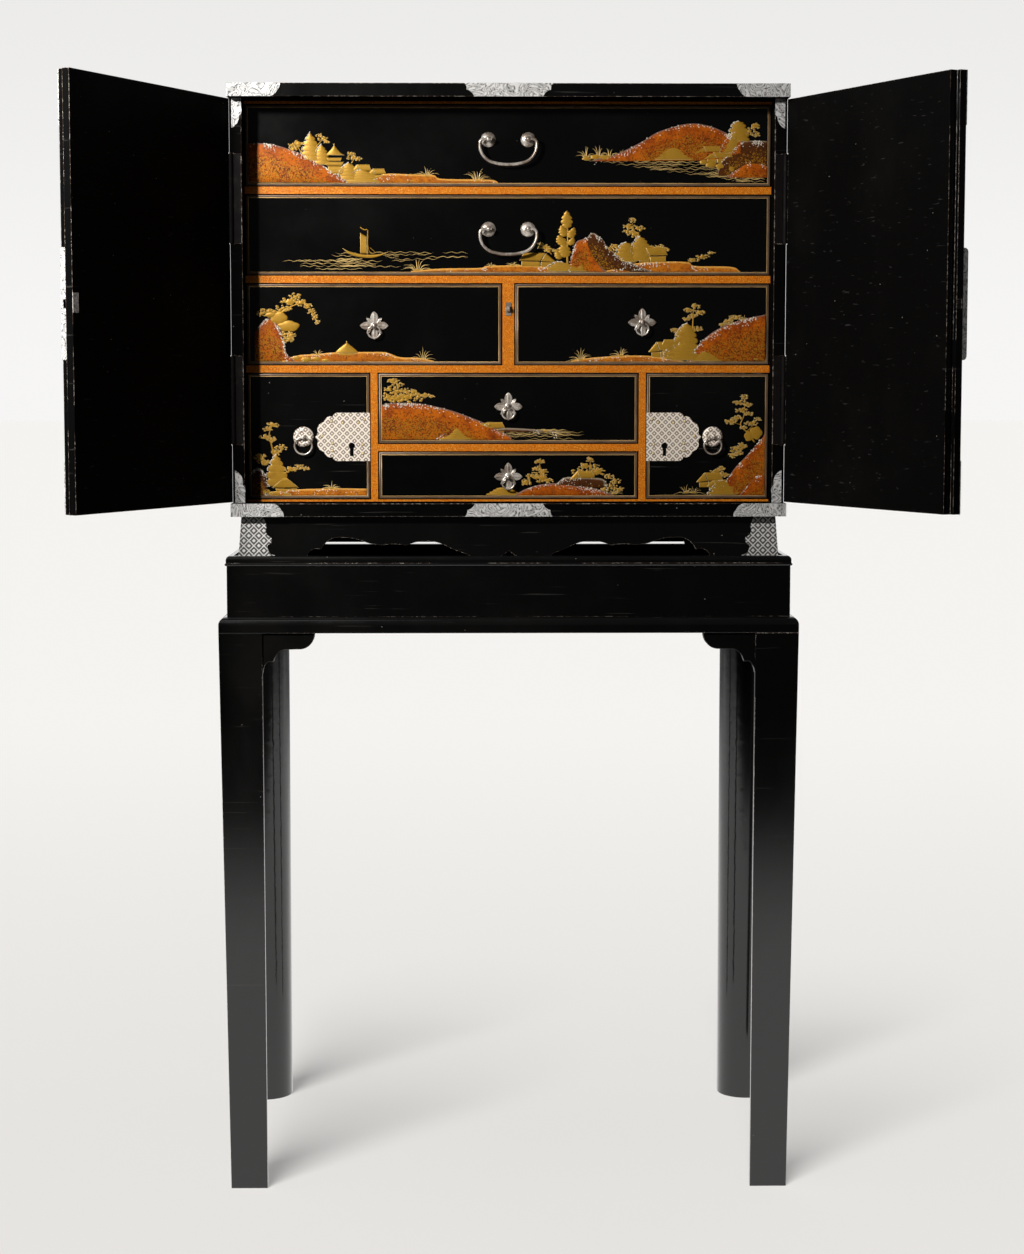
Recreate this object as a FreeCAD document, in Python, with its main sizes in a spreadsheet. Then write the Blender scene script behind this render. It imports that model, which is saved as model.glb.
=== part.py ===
"""A lacquered cabinet on stand: a case with two doors over a bank of drawers, on a four-legged stand.

Millimetres. +Z is up, -Y is the front and +X is to the right of someone facing the doors. The origin is
on the floor, midway between the stand's sides, and midway between its back and the reach of the open
doors. The doors are modelled closed about their hinge pins, and then turned open by DoorOpen.
"""

import FreeCAD, Part
import math
import os
import re

import Sketcher

from FreeCAD import Placement, Rotation, Vector

SIZES = {
    # the case, measured from its front plane, in which the top, the bottom and the doors lie
    "Front": (-73, "y of the case's front plane"),
    "CaseWidth": (680, "width over the top and bottom boards"),
    "CaseDepth": (415, "front plane to back"),
    "CaseTop": (1366, "height of the top above the floor"),
    "CaseBottom": (842, "underside of the bottom board"),
    "Board": (16, "thickness of the top and bottom boards"),
    "Side": (15, "thickness of the side boards"),
    "SideRound": (3, "rounding of a side board's front outer edge"),
    "Back": (10, "thickness of the back panel"),
    # the doors
    "Door": (18, "thickness of a door"),
    "DoorInset": (3, "how far a door's hinged edge stands in from the end of the top"),
    "DoorGap": (1, "room above, below and behind a closed door"),
    "DoorOpen": (115.2, "angle at which the doors stand open, in degrees"),
    "Lip": (3, "half the width of the step where the doors overlap"),
    "LipGap": (0.3, "running room at that step"),
    "PinOut": (1.5, "hinge pin's axis, outside the door's edge"),
    "PinBehind": (0.8, "hinge pin's axis, behind the door's inner face"),
    "PinRadius": (1.5, "hinge pin"),
    "BoreGap": (0.08, "radial room of every pin in its hole"),
    "Knuckle": (3.2, "radius of a hinge knuckle"),
    "KnuckleGap": (0.4, "room around a knuckle"),
    "HingeHalf": (54, "half the height of a hinge"),
    "MidKnuckle": (24, "half the height of a hinge's middle knuckle"),
    "Leaf": (1.6, "thickness of a hinge leaf"),
    "LeafWide": (11, "width of a hinge leaf"),
    "UpperHinge": (1229, "height of the upper hinges' middle"),
    "LowerHinge": (984, "height of the lower hinges' middle"),
    "LockMid": (1093, "height of the door lock's middle"),
    "LockHalf": (62, "half the height of the lock furniture on the doors"),
    "LockWide": (46, "width of the lock furniture on the doors"),
    "LockCase": (6, "how far the lock case stands off the right door"),
    "Sheet": (1.0, "thickness of the sheet-metal mounts"),
    "Bolt": (4.6, "thickness of a lock bolt"),
    # the bank of drawers
    "BankSet": (55, "front plane to the drawer fronts"),
    "Shelf": (9, "thickness of the shelves between the drawers"),
    "ShelfUpper": (1246.2, "top face of the shelf under the first drawer"),
    "ShelfMiddle": (1137.4, "top face of the shelf under the second drawer"),
    "ShelfLower": (1027, "top face of the shelf under the third row"),
    "ShelfCentre": (929.6, "top face of the shelf between the two centre drawers"),
    "TrimTop": (3.2, "height of the thin rail over the first drawer"),
    "TrimBottom": (2.6, "height of the thin rail under the lowest row"),
    "TrimDeep": (22, "depth of both thin rails"),
    "MidDivider": (14.6, "width of the upright between the two drawers of the third row"),
    "LowDivider": (8.8, "width of the two uprights of the lowest row"),
    "LowDividerAt": (166.8, "distance of those uprights' middles from the centre"),
    "Fit": (0.6, "room around a drawer or an inner door"),
    "DrawerFront": (12, "thickness of a drawer front"),
    "DrawerSide": (7, "thickness of a drawer's sides and back"),
    "DrawerFloor": (5, "thickness of a drawer's bottom"),
    "DrawerLong": (338, "front to back of a drawer"),
    "DrawerLow": (8, "how far a drawer's sides stop below its front's top edge"),
    "InnerDoor": (12, "thickness of an inner door"),
    # handles
    "BailUpper": (1303.5, "height of the first drawer's bail pins"),
    "BailMiddle": (1194.2, "height of the second drawer's bail pins"),
    "BailHalf": (24.5, "half the distance between a bail's posts"),
    "BailReach": (35, "half the width of a bail, to the middle of its bar"),
    "BailDrop": (31, "how far a bail hangs below its pins"),
    "BailBar": (1.9, "radius of a bail's bar"),
    "BailPin": (4, "length of bar inside each of a bail's posts"),
    "BailBend": (5, "radius of the bend beside a bail's pin"),
    "BailTurn": (22, "radius of a bail's lower corners"),
    "BailSag": (70, "radius of the curve between those corners"),
    "BailOut": (10, "how far a bail's pins stand off the drawer front"),
    "Rosette": (9.1, "radius of a bail's rosette"),
    "FlowerLeft": (1076, "height of the left flower pull"),
    "FlowerRight": (1080, "height of the right flower pull"),
    "FlowerUpper": (976, "height of the upper centre flower pull"),
    "FlowerLower": (889, "height of the lower centre flower pull"),
    "FlowerRing": (7.7, "radius of a flower pull's ring, to the middle of its wire"),
    "RingWire": (1.05, "radius of the ring wire"),
    "RingOut": (6.5, "how far a ring hangs off its front"),
    "PlateMid": (938.5, "height of the inner doors' lock plates"),
    "BossOut": (254.8, "distance of the inner doors' bosses from the centre"),
    "Boss": (12.6, "radius of an inner door's boss"),
    "BossRing": (10.8, "radius of a boss's ring, to the middle of its wire"),
    # the base that carries the case
    "BaseBottom": (782, "underside of the base, and the deck's top face"),
    "BaseInset": (12, "top of the base, in from the front plane and from the case's ends"),
    "BaseFlare": (4.5, "how much wider the base is at its foot, on each side"),
    "BaseBoard": (12, "thickness of the base boards"),
    "BaseBackGap": (3.8, "height of the base's back board over the deck, between its feet"),
    # the stand
    "StandWide": (712, "width over the legs at their top"),
    "StandDeep": (454, "depth over the legs at their top"),
    "StandAhead": (18, "how far the legs stand in front of the case's front plane"),
    "LegSide": (53.3, "side of a leg at its top"),
    "LegTaper": (8, "how far a leg's outer faces lean in, from top to foot"),
    "LegRound": (0.85, "share of a leg's side taken by its rounded inner corner"),
    "FrameBottom": (700, "underside of the lower frame, and top of the legs"),
    "FrameTop": (719.4, "top of the lower frame"),
    "FrameRound": (9.4, "rounding of the lower frame's top edge"),
    "FrameRail": (50, "width of the lower frame's rails"),
    "FriezeIn": (10, "how far the frieze stands in from the lower frame"),
    "Frieze": (16, "thickness of the frieze boards"),
    "Deck": (12, "thickness of the deck board"),
    "LipTop": (794.2, "top of the moulding around the deck"),
    "LipWide": (9, "width of that moulding"),
    "LipRound": (5, "rounding of its top edge"),
    "Bead": (3.4, "height of the bead at its foot"),
    "BeadOut": (1.2, "how far the bead stands out"),
    "Bracket": (15, "thickness of a corner bracket"),
    "BracketIn": (3, "how far a bracket stands in from the leg's face"),
}

doc = FreeCAD.newDocument("CabinetOnStand")
sheet = doc.addObject("Spreadsheet::Sheet", "Sizes")
for row, (alias, (amount, meaning)) in enumerate(SIZES.items(), 1):
    sheet.set(f"A{row}", alias)
    sheet.set(f"B{row}", str(amount))
    sheet.set(f"C{row}", meaning)
    sheet.setAlias(f"B{row}", alias)
doc.recompute()

# lines and limits that many pieces share, as expressions in the sheet's names
CASE_END = "CaseWidth/2"
CASE_REAR = "(Front + CaseDepth)"
SIDE_IN = "(CaseWidth/2 - Side)"
BELOW_TOP = "(CaseTop - Board)"
ON_BOTTOM = "(CaseBottom + Board)"
STILE = "(Front + Door + DoorGap)"
BANK = "(Front + BankSet)"
INSIDE_REAR = "(Front + CaseDepth - Back)"
DOOR_EDGE = "(CaseWidth/2 - DoorInset)"
PIN_X = f"({DOOR_EDGE} + PinOut)"
PIN_Y = "(Front + Door + PinBehind)"
STAND_FRONT = "(Front - StandAhead)"
STAND_REAR = "(Front - StandAhead + StandDeep)"
FAR = "600"  # reaches past the whole object
ALL_HIGH = ("0", "2000")
TINY = 1e-6
SIDES = (("left", -1), ("right", 1))

sub_parts = []


def named(expression):
    """The expression with the sheet's name put before each of its sizes."""
    return re.sub(r"\b([A-Z][A-Za-z]+)\b", r"Sizes.\1", str(expression))


def size(expression):
    """What an expression comes to now, in millimetres."""
    return float(sheet.evalExpression(named(expression)))


def bind(item, **places):
    """Binds Placement.Base.x, .y and .z to expressions."""
    for letter, expression in places.items():
        item.setExpression(f"Placement.Base.{letter}", named(expression))


def block(across, deep, high):
    """A square-edged block between three pairs of limits."""
    item = doc.addObject("Part::Box", "block")
    for side, (low, top) in zip(("Length", "Width", "Height"), (across, deep, high)):
        item.setExpression(side, named(f"({top}) - ({low})"))
    bind(item, x=across[0], y=deep[0], z=high[0])
    return item


def rod(axis, radius, start, length):
    """A round bar along x, y or z from its start."""
    item = doc.addObject("Part::Cylinder", "rod")
    turns = {"x": Rotation(Vector(0, 1, 0), 90), "y": Rotation(Vector(1, 0, 0), -90), "z": Rotation()}
    item.Placement = Placement(Vector(), turns[axis])
    item.setExpression("Radius", named(radius))
    item.setExpression("Height", named(length))
    bind(item, **dict(zip("xyz", start)))
    return item


def cut(base, *tools):
    """The base without its tools."""
    item = doc.addObject("Part::Cut", "cut")
    item.Base = base
    item.Tool = join(*tools) if len(tools) > 1 else tools[0]
    return item


def join(*pieces):
    """Pieces that touch or overlap, as one."""
    item = doc.addObject("Part::MultiFuse", "join")
    item.Shapes = list(pieces)
    return item


def shared(*pieces):
    """What all the pieces have in common."""
    item = doc.addObject("Part::MultiCommon", "shared")
    item.Shapes = list(pieces)
    return item


def group(*pieces):
    """Separate solids that make one sub-part."""
    item = doc.addObject("Part::Compound", "group")
    item.Links = list(pieces)
    return item


def bulged(start, end, radius, side):
    """The middle point of an arc of this radius that leaves its chord to the left (1) or right (-1)."""
    chord = end - start
    rise = radius - math.sqrt(max(radius**2 - chord.Length**2 / 4, 0))
    left = Vector(-chord.y, chord.x, 0).normalize()
    return (start + end) / 2 + left * rise * side


def outline(body, plane, points, curves, lift, closed=True):
    """A sketch in one of the body's planes, lifted along the plane's normal.

    points are (across, up) expressions. curves gives a side of the outline a radius and the side of its
    chord to which it bulges: {side number: (radius expression, 1 left or -1 right)}. Every corner and
    every radius is tied to its expression.
    """
    sketch = body.newObject("Sketcher::SketchObject", "outline")
    support = next(f for f in body.Origin.OriginFeatures if f.Role == plane + "_Plane")
    sketch.AttachmentSupport = [(support, "")]
    sketch.MapMode = "FlatFace"
    sketch.setExpression("AttachmentOffset.Base.z", named(lift))
    corners = [Vector(size(across), size(up), 0) for across, up in points]
    count = len(corners) if closed else len(corners) - 1
    for side in range(count):
        start, end = corners[side], corners[(side + 1) % len(corners)]
        if side in curves:
            radius, way = curves[side]
            middle = bulged(start, end, size(radius), way)
            sketch.addGeometry(Part.Arc(start, middle, end), False)
        else:
            sketch.addGeometry(Part.LineSegment(start, end), False)

    def end_at(side, corner):
        near = (sketch.getPoint(side, 1) - corner).Length < (sketch.getPoint(side, 2) - corner).Length
        return 1 if near else 2

    for side in range(count):
        at = end_at(side, corners[side])
        for way, number, expression in (("DistanceX", 0, points[side][0]), ("DistanceY", 1, points[side][1])):
            tie(sketch, expression, corners[side][number], way, side, at)
        if side in curves:
            tie(sketch, curves[side][0], size(curves[side][0]), "Radius", side)
        following = side + 1
        if following < count or closed:
            corner = corners[following % len(corners)]
            following %= count
            sketch.addConstraint(Sketcher.Constraint(
                "Coincident", side, end_at(side, corner), following, end_at(following, corner)))
    if not closed:
        last = corners[-1]
        at = end_at(count - 1, last)
        tie(sketch, points[-1][0], last.x, "DistanceX", count - 1, at)
        tie(sketch, points[-1][1], last.y, "DistanceY", count - 1, at)
    return sketch


def tie(sketch, expression, amount, kind, *where):
    """A dimension of a sketch, bound to an expression where that holds a size of the sheet."""
    index = sketch.addConstraint(Sketcher.Constraint(kind, *where, amount))
    if named(expression) != str(expression):
        sketch.setExpression(f"Constraints[{index}]", named(expression))


def prism(plane, points, limits, curves=None):
    """A body whose outline lies in a plane and which reaches between two limits along the third axis."""
    body = doc.addObject("PartDesign::Body", "prism")
    low, top = limits
    # an XZ sketch faces -Y, so it is lifted by minus its depth and padded backwards
    turned = plane == "XZ"
    sketch = outline(body, plane, points, curves or {}, f"-({low})" if turned else low)
    pad = body.newObject("PartDesign::Pad", "pad")
    pad.Profile = sketch
    pad.Reversed = turned
    pad.setExpression("Length", named(f"({top}) - ({low})"))
    return body


def turned_piece(points, curves, centre):
    """A body turned about the Y axis through its centre: points are (radius, depth)."""
    body = doc.addObject("PartDesign::Body", "turned")
    sketch = outline(body, "XY", points, curves, "0")
    revolution = body.newObject("PartDesign::Revolution", "revolution")
    revolution.Profile = sketch
    revolution.ReferenceAxis = (sketch, ["V_Axis"])
    revolution.Angle = 360
    bind(body, **dict(zip("xyz", centre)))
    return body


def rounded_block(across, deep, high, radius, rounded):
    """A block whose edges that pass the test are rounded. The test gets an edge's middle, from 0 to 1."""
    body = doc.addObject("PartDesign::Body", "rounded")
    box = body.newObject("PartDesign::AdditiveBox", "box")
    for side, (low, top) in zip(("Length", "Width", "Height"), (across, deep, high)):
        box.setExpression(side, named(f"({top}) - ({low})"))
    doc.recompute()
    bounds = box.Shape.BoundBox
    edges = []
    for number, edge in enumerate(box.Shape.Edges, 1):
        middle = edge.BoundBox.Center
        share = (middle.x / bounds.XLength, middle.y / bounds.YLength, middle.z / bounds.ZLength)
        if rounded(*share):
            edges.append(f"Edge{number}")
    fillet = body.newObject("PartDesign::Fillet", "fillet")
    fillet.Base = (box, edges)
    fillet.setExpression("Radius", named(radius))
    bind(body, x=across[0], y=deep[0], z=high[0])
    return body


def outer_top(x, y, z):
    """True for the four edges around the top."""
    return z > 1 - TINY


def sub_part(label, item):
    """Names a finished piece, which is then checked and written at the end."""
    item.Label = label
    sub_parts.append(item)
    return item


def about_the_pin(item, sign):
    """Carries a piece, drawn about a closed door's hinge pin, to the open door of one side."""
    item.setExpression("Placement", named(
        f"placement(vector({sign} * {PIN_X}; {PIN_Y}; 0); rotation(vector(0; 0; {sign}); DoorOpen))"))
    return item


def mirrored(pair, sign):
    """Limits along x, for the left (-1) or the right (1) half."""
    low, top = (f"{sign} * ({limit})" for limit in pair)
    return (low, top) if sign > 0 else (top, low)


# ---------------------------------------------------------------------------------------------- stand


def leg(label, x_sign, y_sign):
    """A leg: two square outer faces that lean in to the foot, and a rounded corner inside."""
    body = doc.addObject("PartDesign::Body", "leg")
    middle = f"({STAND_FRONT} + StandDeep/2)"
    inner = ("(StandWide/2 - LegSide)", "(StandDeep/2 - LegSide)")
    rims = []
    for lean, lift in (("LegTaper", "0"), ("0", "FrameBottom")):
        outer = (f"(StandWide/2 - {lean})", f"(StandDeep/2 - {lean})")
        radius = f"(LegSide - {lean}) * LegRound"
        ring = [(outer[0], outer[1]), (inner[0], outer[1]), (inner[0], f"({inner[1]} + {radius})"),
                (f"({inner[0]} + {radius})", inner[1]), (outer[0], inner[1])]
        points = [(f"{x_sign} * {x}", f"{middle} + {y_sign} * {y}") for x, y in ring]
        # the corner bulges away from the leg's outer corner
        rims.append(outline(body, "XY", points, {2: (radius, -x_sign * y_sign)}, lift))
    loft = body.newObject("PartDesign::AdditiveLoft", "loft")
    loft.Profile = rims[0]
    loft.Sections = [rims[1]]
    loft.Ruled = True
    return sub_part(label, body)


def frame_of_four(solid, front, rear, width):
    """Cuts a hollow block into a front and a rear piece of full length and two side pieces between."""
    inner_front, inner_rear = f"{front} + {width}", f"{rear} - {width}"
    return group(
        shared(solid, block((f"-{FAR}", FAR), (f"{front} - {FAR}", inner_front), ALL_HIGH)),
        shared(solid, block((f"-{FAR}", FAR), (inner_rear, f"{rear} + {FAR}"), ALL_HIGH)),
        shared(solid, block((f"-{FAR}", "0"), (inner_front, inner_rear), ALL_HIGH)),
        shared(solid, block(("0", FAR), (inner_front, inner_rear), ALL_HIGH)),
    )


def hollow(solid, reach, front, rear, width):
    """The solid without the room inside walls of this width."""
    across = (f"-({reach}) + {width}", f"({reach}) - {width}")
    return cut(solid, block(across, (f"{front} + {width}", f"{rear} - {width}"), ALL_HIGH))


def leaning_block(left, right, front, rear, flare):
    """A block as high as the base whose four sides lean: at its foot it's wider by flare on each side."""
    body = doc.addObject("PartDesign::Body", "leaning")
    rims = []
    for grow, lift in ((flare, "BaseBottom"), ("0", "CaseBottom")):
        x = (f"({left} - {grow})", f"({right} + {grow})")
        y = (f"({front} - {grow})", f"({rear} + {grow})")
        corners = [(x[0], y[0]), (x[1], y[0]), (x[1], y[1]), (x[0], y[1])]
        rims.append(outline(body, "XY", corners, {}, lift))
    loft = body.newObject("PartDesign::AdditiveLoft", "loft")
    loft.Profile = rims[0]
    loft.Sections = [rims[1]]
    loft.Ruled = True
    return body


for x_name, x_sign in SIDES:
    for y_name, y_sign in (("front", -1), ("back", 1)):
        leg(f"leg_{y_name}_{x_name}", x_sign, y_sign)

frame_block = rounded_block(("-StandWide/2", "StandWide/2"), (STAND_FRONT, STAND_REAR),
                            ("FrameBottom", "FrameTop"), "FrameRound", outer_top)
frame_ring = hollow(frame_block, "StandWide/2", STAND_FRONT, STAND_REAR, "FrameRail")
sub_part("lower_frame", frame_of_four(frame_ring, STAND_FRONT, STAND_REAR, "FrameRail"))

FRIEZE_X = "(StandWide/2 - FriezeIn)"
FRIEZE_FRONT = f"({STAND_FRONT} + FriezeIn)"
FRIEZE_REAR = f"({STAND_REAR} - FriezeIn)"
frieze_high = ("FrameTop", "BaseBottom")
frieze_block = block((f"-{FRIEZE_X}", FRIEZE_X), (FRIEZE_FRONT, FRIEZE_REAR), frieze_high)
frieze_ring = hollow(frieze_block, FRIEZE_X, FRIEZE_FRONT, FRIEZE_REAR, "Frieze")
sub_part("frieze_boards", frame_of_four(frieze_ring, FRIEZE_FRONT, FRIEZE_REAR, "Frieze"))
sub_part("stand_deck", group(block(
    (f"-{FRIEZE_X} + Frieze", f"{FRIEZE_X} - Frieze"),
    (f"{FRIEZE_FRONT} + Frieze", f"{FRIEZE_REAR} - Frieze"), ("BaseBottom - Deck", "BaseBottom"))))


def lip_moulding():
    """The moulding that stands around the deck's front and sides, with a bead at its foot."""
    out, front, rear = f"({FRIEZE_X} + 1)", f"({FRIEZE_FRONT} - 1)", f"({FRIEZE_REAR} + 1)"
    body = rounded_block((f"-{out}", out), (front, rear), ("BaseBottom", "LipTop"), "LipRound", outer_top)
    bead = rounded_block(
        (f"-{out} - BeadOut", f"{out} + BeadOut"), (f"{front} - BeadOut", f"{rear} + BeadOut"),
        ("BaseBottom", "BaseBottom + Bead"), "Bead/2 - 0.05", lambda x, y, z: abs(z - 0.5) > 0.5 - TINY)
    ring = hollow(join(body, bead), out, front, rear, "LipWide")
    pieces = (
        ((f"-{FAR}", FAR), (f"{front} - {FAR}", f"{front} + LipWide")),
        ((f"-{FAR}", f"-{out} + LipWide"), (f"{front} + LipWide", FRIEZE_REAR)),
        ((f"{out} - LipWide", FAR), (f"{front} + LipWide", FRIEZE_REAR)),
    )
    return group(*(shared(ring, block(across, deep, ALL_HIGH)) for across, deep in pieces))


sub_part("deck_moulding", lip_moulding())


def brackets():
    """Eight shaped brackets in the corners between the legs and the lower frame."""
    # along from the leg, down from the frame: a quarter round, a flat, and two coves with a nib between
    shape = [(0, 0), (64, 0), (64, -3), (44, -20), (26, -20.4), (13.6, -35.5), (7.2, -35.5), (0, -50)]
    rounds = {2: (18.5, -1), 4: (20, 1), 6: (19, 1)}
    made = []
    for plane, middle, half, faces in (
        ("XZ", "0", "(StandWide/2 - LegSide)",
         (f"{STAND_FRONT} + BracketIn", f"{STAND_REAR} - BracketIn - Bracket")),
        ("YZ", f"({STAND_FRONT} + StandDeep/2)", "(StandDeep/2 - LegSide)",
         ("-StandWide/2 + BracketIn", "StandWide/2 - BracketIn - Bracket")),
    ):
        for sign in (-1, 1):
            points = [(f"{middle} + {sign} * ({half} - {along})", f"FrameBottom + {down}")
                      for along, down in shape]
            curves = {side: (str(radius), way * sign) for side, (radius, way) in rounds.items()}
            for face in faces:
                made.append(prism(plane, points, (face, f"{face} + Bracket"), curves))
    return group(*made)


sub_part("leg_brackets", brackets())

# ----------------------------------------------------------------------------------------------- base


BASE_X, BASE_FRONT = f"({CASE_END} - BaseInset)", "(Front + BaseInset)"
BASE_REAR = f"({CASE_REAR} - BaseInset)"


def base_boards():
    """Four boards that lean out to the foot: three with scalloped lower edges, and the straight back."""
    outside = leaning_block(f"-{BASE_X}", BASE_X, BASE_FRONT, BASE_REAR, "BaseFlare")
    inside = leaning_block(f"-{BASE_X} + BaseBoard", f"{BASE_X} - BaseBoard", f"{BASE_FRONT} + BaseBoard",
                           f"{BASE_REAR} - BaseBoard", "BaseFlare")
    foot = 249  # half the way between the feet of the front and of the back
    openings = (
        scalloped_opening("XZ", foot, "lobed", "0", (f"{BASE_FRONT} - 40", f"{BASE_FRONT} + 40")),
        scalloped_opening("YZ", 150, "plain", "(Front + CaseDepth/2)", (f"-{BASE_X} - 40", f"{BASE_X} + 40")),
        block((f"-{foot}", f"{foot}"), (f"{BASE_REAR} - 40", f"{BASE_REAR} + 40"),
              ("BaseBottom - 1", "BaseBottom + BaseBackGap")),
    )
    return frame_of_four(cut(outside, inside, *openings), BASE_FRONT, BASE_REAR, "BaseBoard")


def scallop(foot, middle):
    """Half an opening's outline, from the foot at the end to the middle: (along, up) and curves.

    The front has a hanging lobe on each side of a notch at its middle, and the sides don't.
    """
    start = [(foot, -1), (foot, 9), (foot - 18, 19), (foot - 45, 33.5), (foot - 70, 29), (foot - 95, 24.6),
             (foot - 123, 24)]
    curves = {1: (13, 1), 2: (24, 1), 3: (60, 1), 4: (60, -1), 5: (75, 1)}
    if middle == "lobed":
        start += [(78, 24), (58, 15.5), (28, 9.5), (0, 17.6)]
        curves.update({6: (56, 1), 7: (90, -1), 8: (60, -1), 9: (30, -1)})
    return start, curves


def scalloped_opening(plane, foot, middle, centre, limits):
    """The room cut through two facing boards of the base, the same on both sides of its middle."""
    left, curves = scallop(foot, middle)
    right = [(-along, up) for along, up in reversed(left[:-1] if middle == "lobed" else left)]
    run = left + right
    points = [(f"{centre} - ({along})", f"BaseBottom + {up}") for along, up in run]
    sides = dict(curves)
    for side, curve in curves.items():
        sides[len(run) - 2 - side] = curve
    if middle == "plain":
        sides[len(left) - 1] = (90, 1)
    return prism(plane, points, limits, {side: (str(radius), way) for side, (radius, way) in sides.items()})


sub_part("base_boards", base_boards())

# ----------------------------------------------------------------------------------------------- case

full_across = (f"-{CASE_END}", CASE_END)
inside_across = (f"-{SIDE_IN}", SIDE_IN)
bank_deep = (BANK, INSIDE_REAR)

sub_part("case_top", group(block(full_across, ("Front", CASE_REAR), (BELOW_TOP, "CaseTop"))))
sub_part("case_bottom", group(block(full_across, ("Front", CASE_REAR), ("CaseBottom", ON_BOTTOM))))
sub_part("case_back", group(block(inside_across, (INSIDE_REAR, CASE_REAR), (ON_BOTTOM, BELOW_TOP))))


def knuckle_rod(radius, middle, half, sign):
    """A round bar along a hinge's axis on the case."""
    return rod("z", radius, (f"{sign} * {PIN_X}", PIN_Y, f"{middle} - {half}"), f"2 * ({half})")


def front_outer_edge(sign):
    """A test that is true for the upright edge at a side board's front and outer face."""
    outer = (sign + 1) / 2
    return lambda x, y, z: y < TINY and abs(x - outer) < TINY


for name, sign in SIDES:
    board = rounded_block(mirrored((SIDE_IN, CASE_END), sign), (STILE, CASE_REAR), (ON_BOTTOM, BELOW_TOP),
                          "SideRound", front_outer_edge(sign))
    recesses = []
    for middle in ("UpperHinge", "LowerHinge"):
        recesses.append(knuckle_rod("Knuckle + KnuckleGap", middle, "(HingeHalf + 1)", sign))
        recesses.append(block(mirrored((f"{DOOR_EDGE} - LeafWide", PIN_X), sign),
                              (f"{STILE} - 1", f"{STILE} + Leaf"),
                              (f"{middle} - HingeHalf", f"{middle} + HingeHalf")))
    sub_part(f"case_side_{name}", cut(board, *recesses))

sub_part("shelf_upper", group(block(inside_across, bank_deep, ("ShelfUpper - Shelf", "ShelfUpper"))))
sub_part("shelf_middle", group(block(inside_across, bank_deep, ("ShelfMiddle - Shelf", "ShelfMiddle"))))
sub_part("shelf_lower", group(block(inside_across, bank_deep, ("ShelfLower - Shelf", "ShelfLower"))))
sub_part("third_row_divider", group(block(
    ("-MidDivider/2", "MidDivider/2"), bank_deep, ("ShelfLower", "ShelfMiddle - Shelf"))))

DIVIDER_IN, DIVIDER_OUT = "(LowDividerAt - LowDivider/2)", "(LowDividerAt + LowDivider/2)"
INNER_LOCK = "(PlateMid - 12)"
inner_bolt_high = (f"{INNER_LOCK} - 5", f"{INNER_LOCK} + 5")


def low_divider(sign):
    """An upright of the lowest row, with the socket for an inner door's bolt."""
    upright = block(mirrored((DIVIDER_IN, DIVIDER_OUT), sign), bank_deep, (ON_BOTTOM, "ShelfLower - Shelf"))
    socket = block(mirrored((f"{DIVIDER_OUT} - 7", f"{DIVIDER_OUT} + 1"), sign),
                   (f"{BANK} + 3.4", f"{BANK} + 8.6"), inner_bolt_high)
    return cut(upright, socket)


sub_part("low_dividers", group(low_divider(-1), low_divider(1)))
sub_part("centre_shelf", group(block(
    (f"-{DIVIDER_IN}", DIVIDER_IN), bank_deep, ("ShelfCentre - Shelf", "ShelfCentre"))))

trim_deep = (BANK, f"{BANK} + TrimDeep")
sub_part("bank_trim_rails", group(
    block(inside_across, trim_deep, (f"{BELOW_TOP} - TrimTop", BELOW_TOP)),
    block((f"-{DIVIDER_IN}", DIVIDER_IN), trim_deep, (ON_BOTTOM, f"{ON_BOTTOM} + TrimBottom")),
    *(block(mirrored((DIVIDER_OUT, SIDE_IN), sign), trim_deep, (ON_BOTTOM, f"{ON_BOTTOM} + TrimBottom"))
      for _, sign in SIDES)))


def staple():
    """An iron eye on the middle upright, for the hook of the left door."""
    middle_z = "(ShelfLower + 69.5)"
    plate = block(("-3.4", "3.4"), (f"{BANK} - 1.2", BANK), (f"{middle_z} - 8", f"{middle_z} + 8"))
    eye = rod("x", "3.6", ("-1.6", f"{BANK} - 3.2", middle_z), "3.2")
    hole = rod("x", "1.8", ("-5", f"{BANK} - 3.8", middle_z), "10")
    return cut(join(plate, eye), hole)


behind_face = block(("-9", "9"), (BANK, f"{BANK} + 9"), ("CaseBottom", "CaseTop"))
sub_part("door_catch_staple", cut(staple(), behind_face))


# --------------------------------------------------------------------------------- silver corner mounts

STILE_OUT = f"({CASE_END} - SideRound)"  # where a side board's flat front begins to round off


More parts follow.
